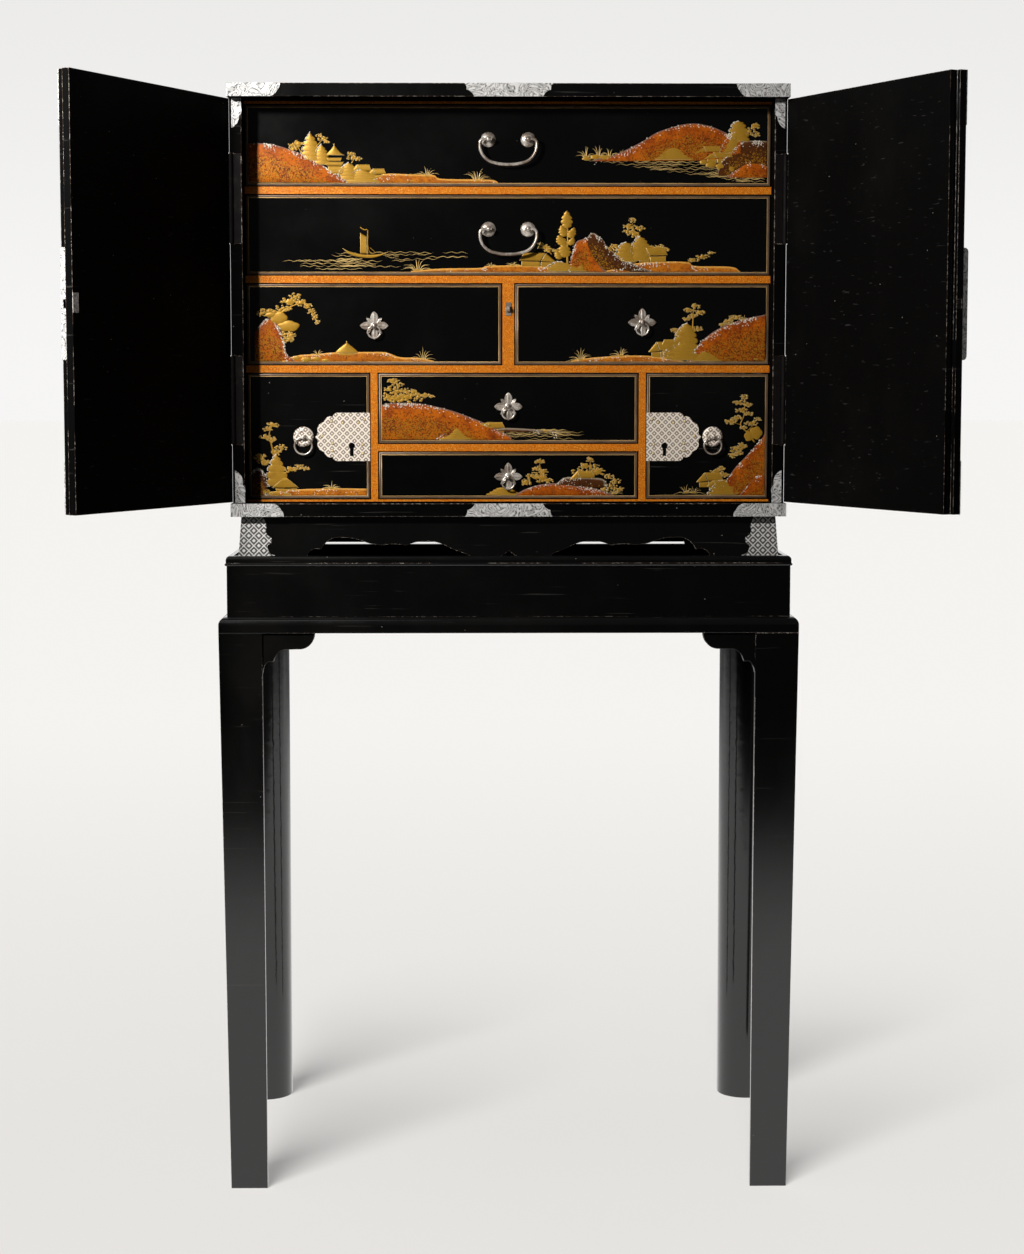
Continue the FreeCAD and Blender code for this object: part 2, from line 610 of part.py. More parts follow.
def corner_mounts():
    """Sheet mounts on the case and on the base: each lies on its face, and none passes into another."""
    made = []
    rail_top, rail_bottom = (BELOW_TOP, "CaseTop"), ("CaseBottom", ON_BOTTOM)
    for sign in (-1, 1):
        for low, top, down in ((*rail_top, 1), (*rail_bottom, -1)):
            # along the rail, with a leaning, hollowed end
            near, far_edge = (low, top) if down > 0 else (top, low)
            points = [(f"{sign} * {CASE_END}", near), (f"{sign} * {CASE_END}", far_edge),
                      (f"{sign} * ({CASE_END} - 64)", far_edge),
                      (f"{sign} * ({CASE_END} - 61)", f"({near} + {far_edge})/2"),
                      (f"{sign} * ({CASE_END} - 52)", near)]
            curves = {2: ("10", -sign * down), 3: ("14", -sign * down)}
            made.append(prism("XZ", points, ("Front - Sheet", "Front"), curves))
            # around the end of the board
            around = mirrored((CASE_END, f"{CASE_END} + Sheet"), sign)
            made.append(block(around, ("Front - Sheet", "Front + 52"), (low, top)))
            # down or up the front of the side board, to a point at its outer edge
            tip = f"{near} - {down} * 36" if down > 0 else f"{near} + 40"
            points = [(f"{sign} * {STILE_OUT}", near), (f"{sign} * {SIDE_IN}", near),
                      (f"{sign} * {SIDE_IN}", f"{near} - {down} * 12"),
                      (f"{sign} * ({SIDE_IN} + 2.5)", f"{near} - {down} * 22"),
                      (f"{sign} * {STILE_OUT}", tip)]
            curves = {2: ("9", -sign * down), 3: ("16", -sign * down)}
            made.append(prism("XZ", points, (f"{STILE} - Sheet/2", STILE), curves))
    for low, top in (rail_top, rail_bottom):
        # the middle of each rail: wide at the outer edge, narrow at the inner
        outer, inner = (top, low) if top == "CaseTop" else (low, top)
        down = 1 if top == "CaseTop" else -1
        shoulder = f"{outer} - {down} * 8"
        points = [("-54", outer), ("54", outer), ("51", shoulder), ("42", inner), ("-42", inner),
                  ("-51", shoulder)]
        curves = {1: ("9", -down), 2: ("11", -down), 4: ("11", -down), 5: ("9", -down)}
        made.append(prism("XZ", points, ("Front - Sheet", "Front"), curves))
    return made + base_mounts()


def base_mounts():
    """Sheet mounts around the base's four corners, leaning with its faces and lobed at their ends."""
    wide = "60"
    corners = []
    for across in ((f"-{BASE_X} - Sheet", f"-{BASE_X} + {wide}"),
                   (f"{BASE_X} - {wide}", f"{BASE_X} + Sheet")):
        for deep in ((f"{BASE_FRONT} - Sheet", f"{BASE_FRONT} + {wide}"),
                     (f"{BASE_REAR} - {wide}", f"{BASE_REAR} + Sheet")):
            corners.append(leaning_block(*across, *deep, "BaseFlare"))
    inner = leaning_block(f"-{BASE_X}", BASE_X, BASE_FRONT, BASE_REAR, "BaseFlare")
    shells = cut(group(*corners), inner)
    # the lobed ends: what is kept lies between each corner and this outline, seen from the front
    lobes = [(0, 60), (30, 60), (36, 46), (42, 34), (38, 25), (47, 12), (52, 0), (0, 0)]
    curves = {1: (18, -1), 2: (9, 1), 3: (6, -1), 4: (10, 1), 5: (12, -1)}
    kept = []
    for plane, centre, half, limits in (
        ("XZ", "0", f"({BASE_X} + BaseFlare + 2)", ("Front - 10", f"{CASE_REAR} + 10")),
        ("YZ", "(Front + CaseDepth/2)", "(CaseDepth/2 - BaseInset + BaseFlare + 2)",
         (f"-{CASE_END}", CASE_END)),
    ):
        both = []
        for sign in (-1, 1):
            points = [(f"{centre} + {sign} * ({half} - {along})", f"BaseBottom + {up}")
                      for along, up in lobes]
            both.append(prism(plane, points, limits,
                              {side: (str(radius), way * sign) for side, (radius, way) in curves.items()}))
        kept.append(join(*both))
    return [shared(shells, *kept)]


sub_part("silver_mounts", group(*corner_mounts()))

# --------------------------------------------------------------------------------------------- hinges
# Drawn about the pin's axis: x runs from the pin into the closed door, and z is the height on the case.

HINGES = ("UpperHinge", "LowerHinge")
EDGE = "PinOut"  # the door's hinged edge
FREE = f"({PIN_X})"  # the middle of the cabinet, where the doors meet
FACE_OUT, FACE_IN = "(-(Door + PinBehind))", "(-PinBehind)"
STILE_FACE = "(DoorGap - PinBehind)"
SPLIT = f"({FACE_OUT} + Door/2)"


def hinge_rod(radius, low, top):
    """A round bar on the hinge's axis, between two heights."""
    return rod("z", radius, ("0", "0", low), f"({top}) - ({low})")


def outer_knuckles(middle, radius):
    """The upper and the lower knuckle of a hinge, or the room for them."""
    return (hinge_rod(radius, f"{middle} - HingeHalf", f"{middle} - MidKnuckle"),
            hinge_rod(radius, f"{middle} + MidKnuckle", f"{middle} + HingeHalf"))


def door_leaf(sign, middle):
    """A hinge leaf let into the door's edge, with the middle knuckle."""
    plate = block(mirrored((EDGE, f"{EDGE} + Leaf"), sign), (f"{FACE_IN} - 15", FACE_IN),
                  (f"{middle} - HingeHalf", f"{middle} + HingeHalf"))
    middle_half = "(MidKnuckle - KnuckleGap/2)"
    knuckle = hinge_rod("Knuckle", f"{middle} - {middle_half}", f"{middle} + {middle_half}")
    room = outer_knuckles(middle, "Knuckle + KnuckleGap")
    bore = hinge_rod("PinRadius + BoreGap", f"{middle} - HingeHalf - 1", f"{middle} + HingeHalf + 1")
    return cut(join(cut(plate, *room), knuckle), bore)


def case_leaf(sign, middle):
    """A hinge leaf let into the front of the side board, with the two outer knuckles."""
    plate = block(mirrored((EDGE, f"{EDGE} + LeafWide"), sign), (STILE_FACE, f"{STILE_FACE} + Leaf"),
                  (f"{middle} - HingeHalf", f"{middle} + HingeHalf"))
    room = hinge_rod("Knuckle + KnuckleGap", f"{middle} - MidKnuckle", f"{middle} + MidKnuckle")
    bore = hinge_rod("PinRadius + BoreGap", f"{middle} - HingeHalf - 1", f"{middle} + HingeHalf + 1")
    return cut(join(cut(plate, room), *outer_knuckles(middle, "Knuckle")), bore)


def on_the_case(item, sign):
    """Carries a piece drawn about the pin to the pin of one side, unturned."""
    bind(item, x=f"{sign} * {PIN_X}", y=PIN_Y)
    return item


leaves, pins = [], []
for name, sign in SIDES:
    inward = -sign
    for middle in HINGES:
        leaves.append(on_the_case(case_leaf(inward, middle), sign))
        pins.append(rod("z", "PinRadius", (f"{sign} * {PIN_X}", PIN_Y, f"{middle} - HingeHalf - 1"),
                        "2 * HingeHalf + 2"))
sub_part("case_hinge_leaves", group(*leaves))
sub_part("hinge_pins", group(*pins))

# ---------------------------------------------------------------------------------------------- doors

BOLT_Y = f"({FACE_OUT} + Door/4)"
bolt_deep = (f"{BOLT_Y} - Bolt/2", f"{BOLT_Y} + Bolt/2")
bolt_room = (f"{BOLT_Y} - Bolt/2 - LipGap", f"{BOLT_Y} + Bolt/2 + LipGap")
bolt_high = ("LockMid - 4.6", "LockMid + 4.6")
bolt_room_high = ("LockMid - 5", "LockMid + 5")
door_high = (f"{ON_BOTTOM} + DoorGap", f"{BELOW_TOP} - DoorGap")


def door_panel(sign, outer_edge, inner_edge):
    """A door with a stepped free edge, cut for its hinges and its lock. sign is the way from pin to edge."""
    points = [(EDGE, FACE_OUT), (outer_edge, FACE_OUT), (outer_edge, f"{SPLIT} - LipGap/2"),
              (inner_edge, f"{SPLIT} - LipGap/2"), (inner_edge, FACE_IN), (EDGE, FACE_IN)]
    panel = prism("XY", [(f"{sign} * {x}", y) for x, y in points], door_high)
    leaf_room = mirrored((f"{EDGE} - 1", f"{EDGE} + Leaf"), sign)
    tools = []
    for middle in HINGES:
        low, top = f"{middle} - HingeHalf", f"{middle} + HingeHalf"
        tools.append(hinge_rod("Knuckle + KnuckleGap", f"{low} - 1", f"{top} + 1"))
        tools.append(block(leaf_room, (f"{FACE_IN} - 15", f"{FACE_IN} + 5"), (low, top)))
    return panel, tools


def corner_plates(sign, far_edge):
    """Four shaped sheet plates on the corners of a door's outer face."""
    made = []
    deep = (f"{FACE_OUT} - Sheet", FACE_OUT)
    for root, way in ((far_edge, -1), (EDGE, 1)):
        for corner, down in ((door_high[1], -1), (door_high[0], 1)):
            shape = [(0, 0), (52, 0), (46, 7), (36, 9), (33, 16), (22, 18), (18, 30), (10, 34), (9, 48),
                     (0, 60)]
            points = [(f"{sign} * ({root} + {way} * {along})", f"{corner} + {down} * {up}")
                      for along, up in shape]
            turn = sign * way * down
            curves = {1: ("8", -turn), 2: ("9", turn), 3: ("8", -turn), 4: ("12", turn), 5: ("14", -turn),
                      6: ("8", turn), 7: ("14", -turn), 8: ("16", turn)}
            made.append(prism("XZ", points, deep, curves))
    return made


def lock_outline(sign, far_edge):
    """The outline of the lock furniture on a door: straight at the free edge, lobed on the other side."""
    shape = [(0, -1), (0.8, -1), (0.86, -0.8), (0.78, -0.55), (1, 0), (0.78, 0.55), (0.86, 0.8), (0.8, 1),
             (0, 1)]
    points = [(f"{sign} * ({far_edge} - LockWide * {along})", f"LockMid + LockHalf * {up}")
              for along, up in shape]
    curves = {1: ("9", sign), 2: ("11", sign), 3: ("30", -sign), 4: ("30", -sign), 5: ("11", sign),
              6: ("9", sign)}
    return points, curves


left_outer, left_inner = f"({FREE} - Lip - LipGap)", f"({FREE} + Lip - LipGap)"
right_outer, right_inner = f"({FREE} + Lip - LipGap)", f"({FREE} - Lip + LipGap)"

# the left door: its inner half carries the step, and its edge takes the bolt of the other door
panel, tools = door_panel(1, left_outer, left_inner)
strike = block((f"{left_outer} - 12", f"{left_outer} + 1"), bolt_room, bolt_room_high)
sub_part("left_door_panel", about_the_pin(cut(panel, strike, *tools), -1))
sub_part("left_door_leaves", about_the_pin(group(*(door_leaf(1, middle) for middle in HINGES)), -1))

points, curves = lock_outline(1, left_outer)
left_plate = prism("XZ", points, (f"{FACE_OUT} - Sheet", FACE_OUT), curves)
strike_face = block((left_outer, f"{left_outer} + 0.6"), (f"{FACE_OUT} - Sheet", f"{SPLIT} - LipGap"),
                    ("LockMid - LockHalf", "LockMid + LockHalf"))
strike_hole = block((f"{left_outer} - 1", f"{left_outer} + 2"), bolt_room, bolt_room_high)
tab_high = ("LockMid - 10", "LockMid + 12")
tab = block((f"{left_inner} - 11", left_inner), (FACE_IN, f"{FACE_IN} + 0.5"), tab_high)
sub_part("left_door_mounts", about_the_pin(
    group(cut(join(left_plate, strike_face), strike_hole), tab, *corner_plates(1, left_outer)), -1))

# the right door: its outer half overlaps the left one and carries the lock
panel, tools = door_panel(-1, right_outer, right_inner)
channel = block((f"-({right_outer} + 1)", f"-({right_outer} - 34)"), bolt_room, bolt_room_high)
sub_part("right_door_panel", about_the_pin(cut(panel, channel, *tools), 1))
sub_part("right_door_leaves", about_the_pin(group(*(door_leaf(-1, middle) for middle in HINGES)), 1))

points, curves = lock_outline(-1, right_outer)
lock_plate = prism("XZ", points, (f"{FACE_OUT} - Sheet", FACE_OUT), curves)
case_block = rounded_block((f"-{right_outer}", f"-({right_outer} - 30)"),
                           (f"{FACE_OUT} - LockCase", f"{FACE_OUT} - Sheet/2"),
                           ("LockMid - LockHalf", "LockMid + LockHalf"), "LockCase * 0.8",
                           lambda x, y, z: y < TINY and abs(z - 0.5) > 0.5 - TINY)
key_barrel = rod("y", "4.4", (f"-({right_outer} - 18)", f"{FACE_OUT} - LockCase - 1", "LockMid + 26"), "6")
key_deep = (f"{FACE_OUT} - LockCase - 1", f"{FACE_OUT} - LockCase + 5")
key_slot = block((f"-({right_outer} - 16)", f"-({right_outer} - 20)"), key_deep,
                 ("LockMid + 12", "LockMid + 26"))
sub_part("right_door_mounts", about_the_pin(
    group(cut(join(lock_plate, case_block), key_barrel, key_slot), *corner_plates(-1, right_outer)), 1))
sub_part("door_bolt", about_the_pin(group(block(
    (f"-({right_outer} - LipGap)", f"-({right_outer} - 24)"), bolt_deep, bolt_high)), 1))

# -------------------------------------------------------------------------------------------- drawers


def drawer(label, across, high):
    """A drawer that fills its opening but for its running room: a front, two sides, a back and a bottom."""
    left, right = f"({across[0]} + Fit)", f"({across[1]} - Fit)"
    low, top = f"({high[0]} + Fit/2)", f"({high[1]} - Fit)"
    behind, end = f"({BANK} + DrawerFront)", f"({BANK} + DrawerLong)"
    wall_high = (low, f"{top} - DrawerLow")
    within = (f"{left} + DrawerSide", f"{right} - DrawerSide")
    return sub_part(label, group(
        block((left, right), (BANK, behind), (low, top)),
        block((left, within[0]), (behind, end), wall_high),
        block((within[1], right), (behind, end), wall_high),
        block(within, (f"{end} - DrawerSide", end), (f"{low} + DrawerFloor", wall_high[1])),
        block(within, (behind, end), (low, f"{low} + DrawerFloor")),
    ))


centre_across = (f"-{DIVIDER_IN}", DIVIDER_IN)
drawer("upper_drawer", inside_across, ("ShelfUpper", f"{BELOW_TOP} - TrimTop"))
drawer("middle_drawer", inside_across, ("ShelfMiddle", "ShelfUpper - Shelf"))
drawer("third_drawer_left", (f"-{SIDE_IN}", "-MidDivider/2"), ("ShelfLower", "ShelfMiddle - Shelf"))
drawer("third_drawer_right", ("MidDivider/2", SIDE_IN), ("ShelfLower", "ShelfMiddle - Shelf"))
drawer("centre_drawer_upper", centre_across, ("ShelfCentre", "ShelfLower - Shelf"))
drawer("centre_drawer_lower", centre_across, (f"{ON_BOTTOM} + TrimBottom", "ShelfCentre - Shelf"))

# -------------------------------------------------------------------------------------------- handles


def bail_posts(label, height):
    """Two domed rosettes, each with a post that ends in a bored ball for the bail's pin."""
    posts = []
    for sign in (-1, 1):
        profile = [("0", "0"), ("Rosette", "0"), ("Rosette", "-1"), ("4.6", "-3.6"), ("2.6", "-4.4"),
                   ("2.4", "-(BailOut - 3)"), ("3.4", "-BailOut"), ("0.6", "-(BailOut + 3.3)"),
                   ("0", "-(BailOut + 3.3)")]
        curves = {2: ("9", 1), 5: ("4", 1), 6: ("3.6", 1)}
        knob = turned_piece(profile, curves, (f"{sign} * BailHalf", BANK, height))
        bore = rod("x", "BailBar + BoreGap", (f"{sign} * BailHalf - 8", f"{BANK} - BailOut", height), "16")
        posts.append(cut(knob, bore))
    return sub_part(label, group(*posts))


def bail(label, height):
    """A hanging bow of round bar: a straight pin in each post, a bend, and a long sagging curve."""
    body = doc.addObject("PartDesign::Body", "bail")
    lean = "((BailReach - BailTurn)/(BailSag - BailTurn))"
    upright = f"sqrt(1 - {lean}^2)"
    sag_low = f"(BailDrop - BailSag * (1 - {upright}))"
    start = "(BailHalf - BailPin)"
    half = [(start, "0"), ("(BailReach - BailBend)", "0"), ("BailReach", "-BailBend"),
            ("BailReach", f"-({sag_low} - BailTurn * {upright})"), (f"(BailSag * {lean})", f"-{sag_low}")]
    points = half + [(f"-{across}", up) for across, up in reversed(half)]
    curves = {1: ("BailBend", 1), 3: ("BailTurn", 1), 4: ("BailSag", 1), 5: ("BailTurn", 1),
              7: ("BailBend", 1)}
    path = outline(body, "XZ", points, curves, "0", closed=False)
    section = body.newObject("Sketcher::SketchObject", "section")
    support = next(f for f in body.Origin.OriginFeatures if f.Role == "YZ_Plane")
    section.AttachmentSupport = [(support, "")]
    section.MapMode = "FlatFace"
    section.setExpression("AttachmentOffset.Base.z", named(start))
    section.addGeometry(Part.Circle(Vector(), Vector(0, 0, 1), size("BailBar")), False)
    section.addConstraint(Sketcher.Constraint("Coincident", 0, 3, -1, 1))
    tie(section, "BailBar", size("BailBar"), "Radius", 0)
    pipe = body.newObject("PartDesign::AdditivePipe", "bar")
    pipe.Profile = section
    pipe.Spine = (path, [f"Edge{number}" for number in range(1, len(points))])
    bind(body, y=f"{BANK} - BailOut", z=height)
    return sub_part(label, body)


for row, height in (("upper", "BailUpper"), ("middle", "BailMiddle")):
    bail_posts(f"{row}_bail_posts", height)
    bail(f"{row}_bail", height)


def petal(body, length, width, lift):
    """A flat petal from the flower's middle to a point, between two arcs."""
    shape = [("1", "0"), (str(length), "0")]
    radius = str(length**2 / (4 * width) + width / 4)
    sketch = outline(body, "XZ", shape, {0: (radius, 1), 1: (radius, 1)}, "0")
    pad = body.newObject("PartDesign::Pad", "petal")
    pad.Profile = sketch
    pad.setExpression("Length", named(lift))
    return pad, sketch


def flower_pull(label, across, height):
    """A flower of four large and four small petals around a stud whose ball is bored for the ring."""
    body = doc.addObject("PartDesign::Body", "flower")
    for length, width, turn, lift in ((17.6, 11.5, 0, "1.8"), (13.6, 6, 45, "1.2")):
        pad, sketch = petal(body, length, width, lift)
        if turn:
            sketch.AttachmentOffset = Placement(Vector(), Rotation(Vector(0, 0, 1), turn))
        doc.recompute()
        pattern = body.newObject("PartDesign::PolarPattern", "petals")
        pattern.Originals = [pad]
        pattern.Axis = (sketch, ["N_Axis"])
        pattern.Angle = 360
        pattern.Occurrences = 4
        body.Tip = pattern
        doc.recompute()
    bind(body, x=across, y=BANK, z=height)
    stud = turned_piece([("0", "0"), ("5", "0"), ("4.4", "-2.6"), ("2", "-3.4"), ("2", "-(RingOut - 2)"),
                         ("3.1", "-RingOut"), ("0.6", "-(RingOut + 3)"), ("0", "-(RingOut + 3)")],
                        {2: ("4", 1), 4: ("3.4", 1), 5: ("3.3", 1)}, (across, BANK, height))
    bore = rod("x", "RingWire + 0.62", (f"{across} - 8", f"{BANK} - RingOut", height), "16")
    return sub_part(label, cut(join(body, stud), bore))


def pull_ring(label, across, height, radius):
    """A wire ring that hangs from a bored stud at this place."""
    item = doc.addObject("Part::Torus", "ring")
    item.Placement = Placement(Vector(), Rotation(Vector(1, 0, 0), 90))
    item.setExpression("Radius1", named(radius))
    item.setExpression("Radius2", "Sizes.RingWire")
    bind(item, x=across, y=f"{BANK} - RingOut", z=f"{height} - {radius}")
    return sub_part(label, item)


THIRD_MID = f"(({SIDE_IN} + MidDivider/2)/2)"
for name, across, height in (
    ("third_left", f"-{THIRD_MID}", "FlowerLeft"),
    ("third_right", THIRD_MID, "FlowerRight"),
    ("centre_upper", "0", "FlowerUpper"),
    ("centre_lower", "0", "FlowerLower"),
):
    flower_pull(f"{name}_flower", across, height)
    pull_ring(f"{name}_ring", across, height, "FlowerRing")

# ---------------------------------------------------------------------------------------- inner doors

PIVOT_X = f"({SIDE_IN} - Fit - InnerDoor/2)"
PIVOT_Y = f"({BANK} + InnerDoor/2)"
inner_high = (f"{ON_BOTTOM} + TrimBottom + Fit", "ShelfLower - Shelf - Fit")
PIVOT_DEEP = "5"


def inner_door(name, sign):
    """A small door: a half-round edge about its pivots, their two sockets, and its bolt's channel."""
    inward = -sign
    reach = f"({PIVOT_X} - {DIVIDER_OUT} - Fit)"
    half = "InnerDoor/2"
    free_edge = f"{inward} * {reach}"
    points = [("0", f"-{half}"), (free_edge, f"-{half}"), (free_edge, half), ("0", half)]
    body = prism("XY", points, inner_high, {3: (f"{half} + 0.0001", -inward)})
    tools = [
        rod("z", "2 + BoreGap", ("0", "0", f"{inner_high[0]} - 1"), f"{PIVOT_DEEP} + 2"),
        rod("z", "2 + BoreGap", ("0", "0", f"{inner_high[1]} - {PIVOT_DEEP} - 1"), f"{PIVOT_DEEP} + 2"),
        block(mirrored((f"{reach} - 26", f"{reach} + 1"), inward), (f"-{half} + 3.4", f"-{half} + 8.6"),
              (f"{inner_bolt_high[0]} - 0.4", f"{inner_bolt_high[1]} + 0.4")),
    ]
    door = cut(body, *tools)
    bind(door, x=f"{sign} * {PIVOT_X}", y=PIVOT_Y)
    return sub_part(f"inner_door_{name}", door)


def inner_lock(name, sign):
    """A lobed lock plate with a keyhole, nine rivets, and beside it a boss with a bored stud."""
    edge = f"({DIVIDER_OUT} + Fit + 0.4)"
    # three scallops between the flat top and the hollow-sided point
    half_shape = [(0, 30), (40, 30), (46, 25), (57, 18.5), (64.8, 6), (68.2, 0)]
    shape = half_shape + [(along, -up) for along, up in reversed(half_shape[:-1])]
    points = [(f"{sign} * ({edge} + {along})", f"PlateMid + {up}") for along, up in shape]
    sides = {1: ("5.4", sign), 2: ("8.2", sign), 3: ("9.6", sign), 4: ("9", -sign)}
    last = len(shape) - 2
    curves = {place: curve for side, curve in sides.items() for place in (side, last - side)}
    plate = prism("XZ", points, (f"{BANK} - Sheet", BANK), curves)
    key_x = f"{sign} * ({edge} + 22.6)"
    through = (f"{BANK} - 5", f"{BANK} + 0")
    hole = rod("y", "4", (key_x, through[0], "PlateMid - 11.3"), "5")
    slot = block((f"{key_x} - 2.2", f"{key_x} + 2.2"), through, ("PlateMid - 24", "PlateMid - 11.3"))
    pierced = cut(plate, hole, slot)
    rivets = []
    for along, up in ((6.8, 21.5), (14.4, 17.8), (33.7, 17.4), (47.6, 19), (59.6, 0.8),
                      (46.6, -8.2), (47, -17.4), (9.2, -9.8), (8.6, -20.6)):
        place = (f"{sign} * ({edge} + {along})", BANK, f"PlateMid + {up}")
        profile = [("0", "-0.5"), ("1.9", "-0.5"), ("1.9", "-1.1"), ("0.5", "-2.1"), ("0", "-2.1")]
        rivets.append(turned_piece(profile, {2: ("2.2", 1)}, place))
    boss = turned_piece([("0", "0"), ("Boss", "0"), ("Boss", "-1.2"), ("8.6", "-4"), ("6.2", "-3"),
                         ("2.6", "-3.2"), ("2.4", "-(RingOut - 2)"), ("3.3", "-RingOut"),
                         ("0.6", "-(RingOut + 3.2)"), ("0", "-(RingOut + 3.2)")],
                        {2: ("5.4", 1), 3: ("4", 1), 6: ("3.6", 1), 7: ("3.5", 1)},
                        (f"{sign} * BossOut", BANK, "PlateMid"))
    bore = rod("x", "RingWire + 0.62", (f"{sign} * BossOut - 8", f"{BANK} - RingOut", "PlateMid"), "16")
    return sub_part(f"inner_lock_{name}", group(join(pierced, *rivets), cut(boss, bore)))


pivots = []
for name, sign in SIDES:
    inner_door(name, sign)
    inner_lock(name, sign)
    pull_ring(f"inner_ring_{name}", f"{sign} * BossOut", "PlateMid", "BossRing")
    inner_edge = f"({DIVIDER_OUT} + Fit)"
    sub_part(f"inner_bolt_{name}", group(block(
        mirrored((f"{inner_edge} + LipGap", f"{inner_edge} + 16"), sign),
        (f"{BANK} + 3.7", f"{BANK} + 8.3"), inner_bolt_high)))
    for low, top in ((f"{ON_BOTTOM} + TrimBottom", f"{inner_high[0]} + {PIVOT_DEEP}"),
                     (f"{inner_high[1]} - {PIVOT_DEEP}", "ShelfLower - Shelf")):
        pivot = rod("z", "2", (f"{sign} * {PIVOT_X}", PIVOT_Y, low), f"({top}) - ({low})")
        pivots.append(pivot)
sub_part("inner_door_pivots", group(*pivots))

# --------------------------------------------------------------------------------------------- export

doc.recompute()
for item in doc.Objects:
    if "Invalid" in item.State or "Error" in item.State:
        raise RuntimeError(f"{item.Name} {item.Label} failed: {item.State}")
os.makedirs("parts", exist_ok=True)
for item in sub_parts:
    shape = item.Shape
    if shape.isNull() or not shape.isValid():
        raise RuntimeError(f"{item.Label} has no valid shape")
    shape.exportStep(f"parts/{item.Label}.step")
    bounds = shape.BoundBox
    print(f"{item.Label:24} solids {len(shape.Solids):2}  volume {shape.Volume / 1000:9.1f} cm3  "
          f"z {bounds.ZMin:7.1f} to {bounds.ZMax:7.1f}")
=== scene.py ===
# %% [markdown]
# # A lacquered cabinet on its stand
# The object is a black lacquered cabinet with two doors, a bank of small drawers and two small
# doors behind them, and a black stand with four legs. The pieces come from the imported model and
# stay as they are. This lesson gives each one its finish, lays the gold pictures on the drawer
# fronts as real low relief, and lights it all like a plain studio.

import math

import bmesh
import bpy
import numpy as np
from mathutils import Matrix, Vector


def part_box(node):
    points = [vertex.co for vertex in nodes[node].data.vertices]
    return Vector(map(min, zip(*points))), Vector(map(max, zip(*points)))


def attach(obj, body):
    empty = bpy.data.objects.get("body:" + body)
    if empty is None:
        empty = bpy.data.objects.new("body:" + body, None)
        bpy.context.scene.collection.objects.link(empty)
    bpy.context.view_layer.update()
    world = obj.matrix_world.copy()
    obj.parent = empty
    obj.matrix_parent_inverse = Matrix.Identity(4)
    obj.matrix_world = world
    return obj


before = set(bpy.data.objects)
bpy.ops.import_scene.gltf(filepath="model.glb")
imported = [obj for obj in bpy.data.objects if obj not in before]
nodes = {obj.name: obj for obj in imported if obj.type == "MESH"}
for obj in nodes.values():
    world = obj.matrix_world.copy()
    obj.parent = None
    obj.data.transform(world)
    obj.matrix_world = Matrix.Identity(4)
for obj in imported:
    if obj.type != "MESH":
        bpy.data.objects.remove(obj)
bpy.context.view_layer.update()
MM = 0.001

# %% [markdown]
# ## Camera
# A long lens, placed a little over three metres in front and a metre above the floor, looks down
# by five and a half degrees. The lens is given as the angle that the picture's long side takes.

# %% Camera
CAMERA_PLACE = Vector((-0.0413, -3.1854, 1.0093))
LOOK_DOWN = 0.0972
LOOK_RIGHT = 0.0145
LENS = 72.81
camera_data = bpy.data.cameras.new("studio_camera")
camera_data.lens = LENS
camera_data.sensor_width = 36
camera = bpy.data.objects.new("studio_camera", camera_data)
camera.location = CAMERA_PLACE
line_of_sight = Vector((math.cos(LOOK_DOWN) * math.sin(LOOK_RIGHT),
                        math.cos(LOOK_DOWN) * math.cos(LOOK_RIGHT),
                        -math.sin(LOOK_DOWN)))
camera.rotation_mode = "QUATERNION"
camera.rotation_quaternion = line_of_sight.to_track_quat("-Z", "Y")
scene = bpy.context.scene
scene.collection.objects.link(camera)
scene.camera = camera
scene.view_settings.view_transform = "Standard"
print("camera looks along", [round(c, 3) for c in line_of_sight])

# %% [markdown]
# ## A small workbench for finishes
# Each finish is a node tree round one Principled shader. `Nodes` only saves typing: it adds a
# node, sets or wires its sockets, and returns the output that is wanted. `Finish` starts one with
# its shader. All patterns read Object coordinates, which are metres on the real object, so a
# scale of 100 makes a pattern of about a centimetre.


# %% Helpers that build a node tree
class Nodes:
    """A node tree that was emptied, with short words for the nodes that are used most."""

    def __init__(self, tree):
        self.tree = tree
        tree.nodes.clear()

    def fill(self, node, values):
        """Fills a node's sockets. Each is named with underscores for spaces or given by its
        number, and gets a value of its own or another node's output."""
        for key, value in values.items():
            socket = node.inputs[key.replace("_", " ") if isinstance(key, str) else key]
            if isinstance(value, bpy.types.NodeSocket):
                self.tree.links.new(value, socket)
            else:
                socket.default_value = value

    def add(self, kind, settings=None, numbered=None, **named):
        """One node with its settings, and its sockets by number and by name."""
        node = self.tree.nodes.new("ShaderNode" + kind)
        for key, value in (settings or {}).items():
            setattr(node, key, value)
        self.fill(node, {**(numbered or {}), **named})
        return node

    def math(self, operation, *values):
        """One sum, product or other operation on numbers."""
        return self.add("Math", {"operation": operation}, dict(enumerate(values))).outputs[0]

    def spread(self, value, low, high, to_low=0.0, to_high=1.0):
        """Smoothly carries the range low..high of a value to to_low..to_high."""
        node = self.add("MapRange", {"interpolation_type": "SMOOTHSTEP"}, Value=value,
                        From_Min=low, From_Max=high, To_Min=to_low, To_Max=to_high)
        return node.outputs[0]

    def blend(self, share, first, second):
        """A colour part of the way from first to second."""
        return self.add("Mix", {"data_type": "RGBA"}, {0: share, 6: first, 7: second}).outputs[2]

    def mix(self, share, first, second):
        """A shader part of the way from first to second."""
        return self.add("MixShader", None, {0: share, 1: first, 2: second}).outputs[0]

    def mirrored(self, rays):
        """1 for the light that a glossy or clear surface sends on."""
        return self.math("MAXIMUM", rays["Is Glossy Ray"], rays["Is Transmission Ray"])


print("words for nodes ready")


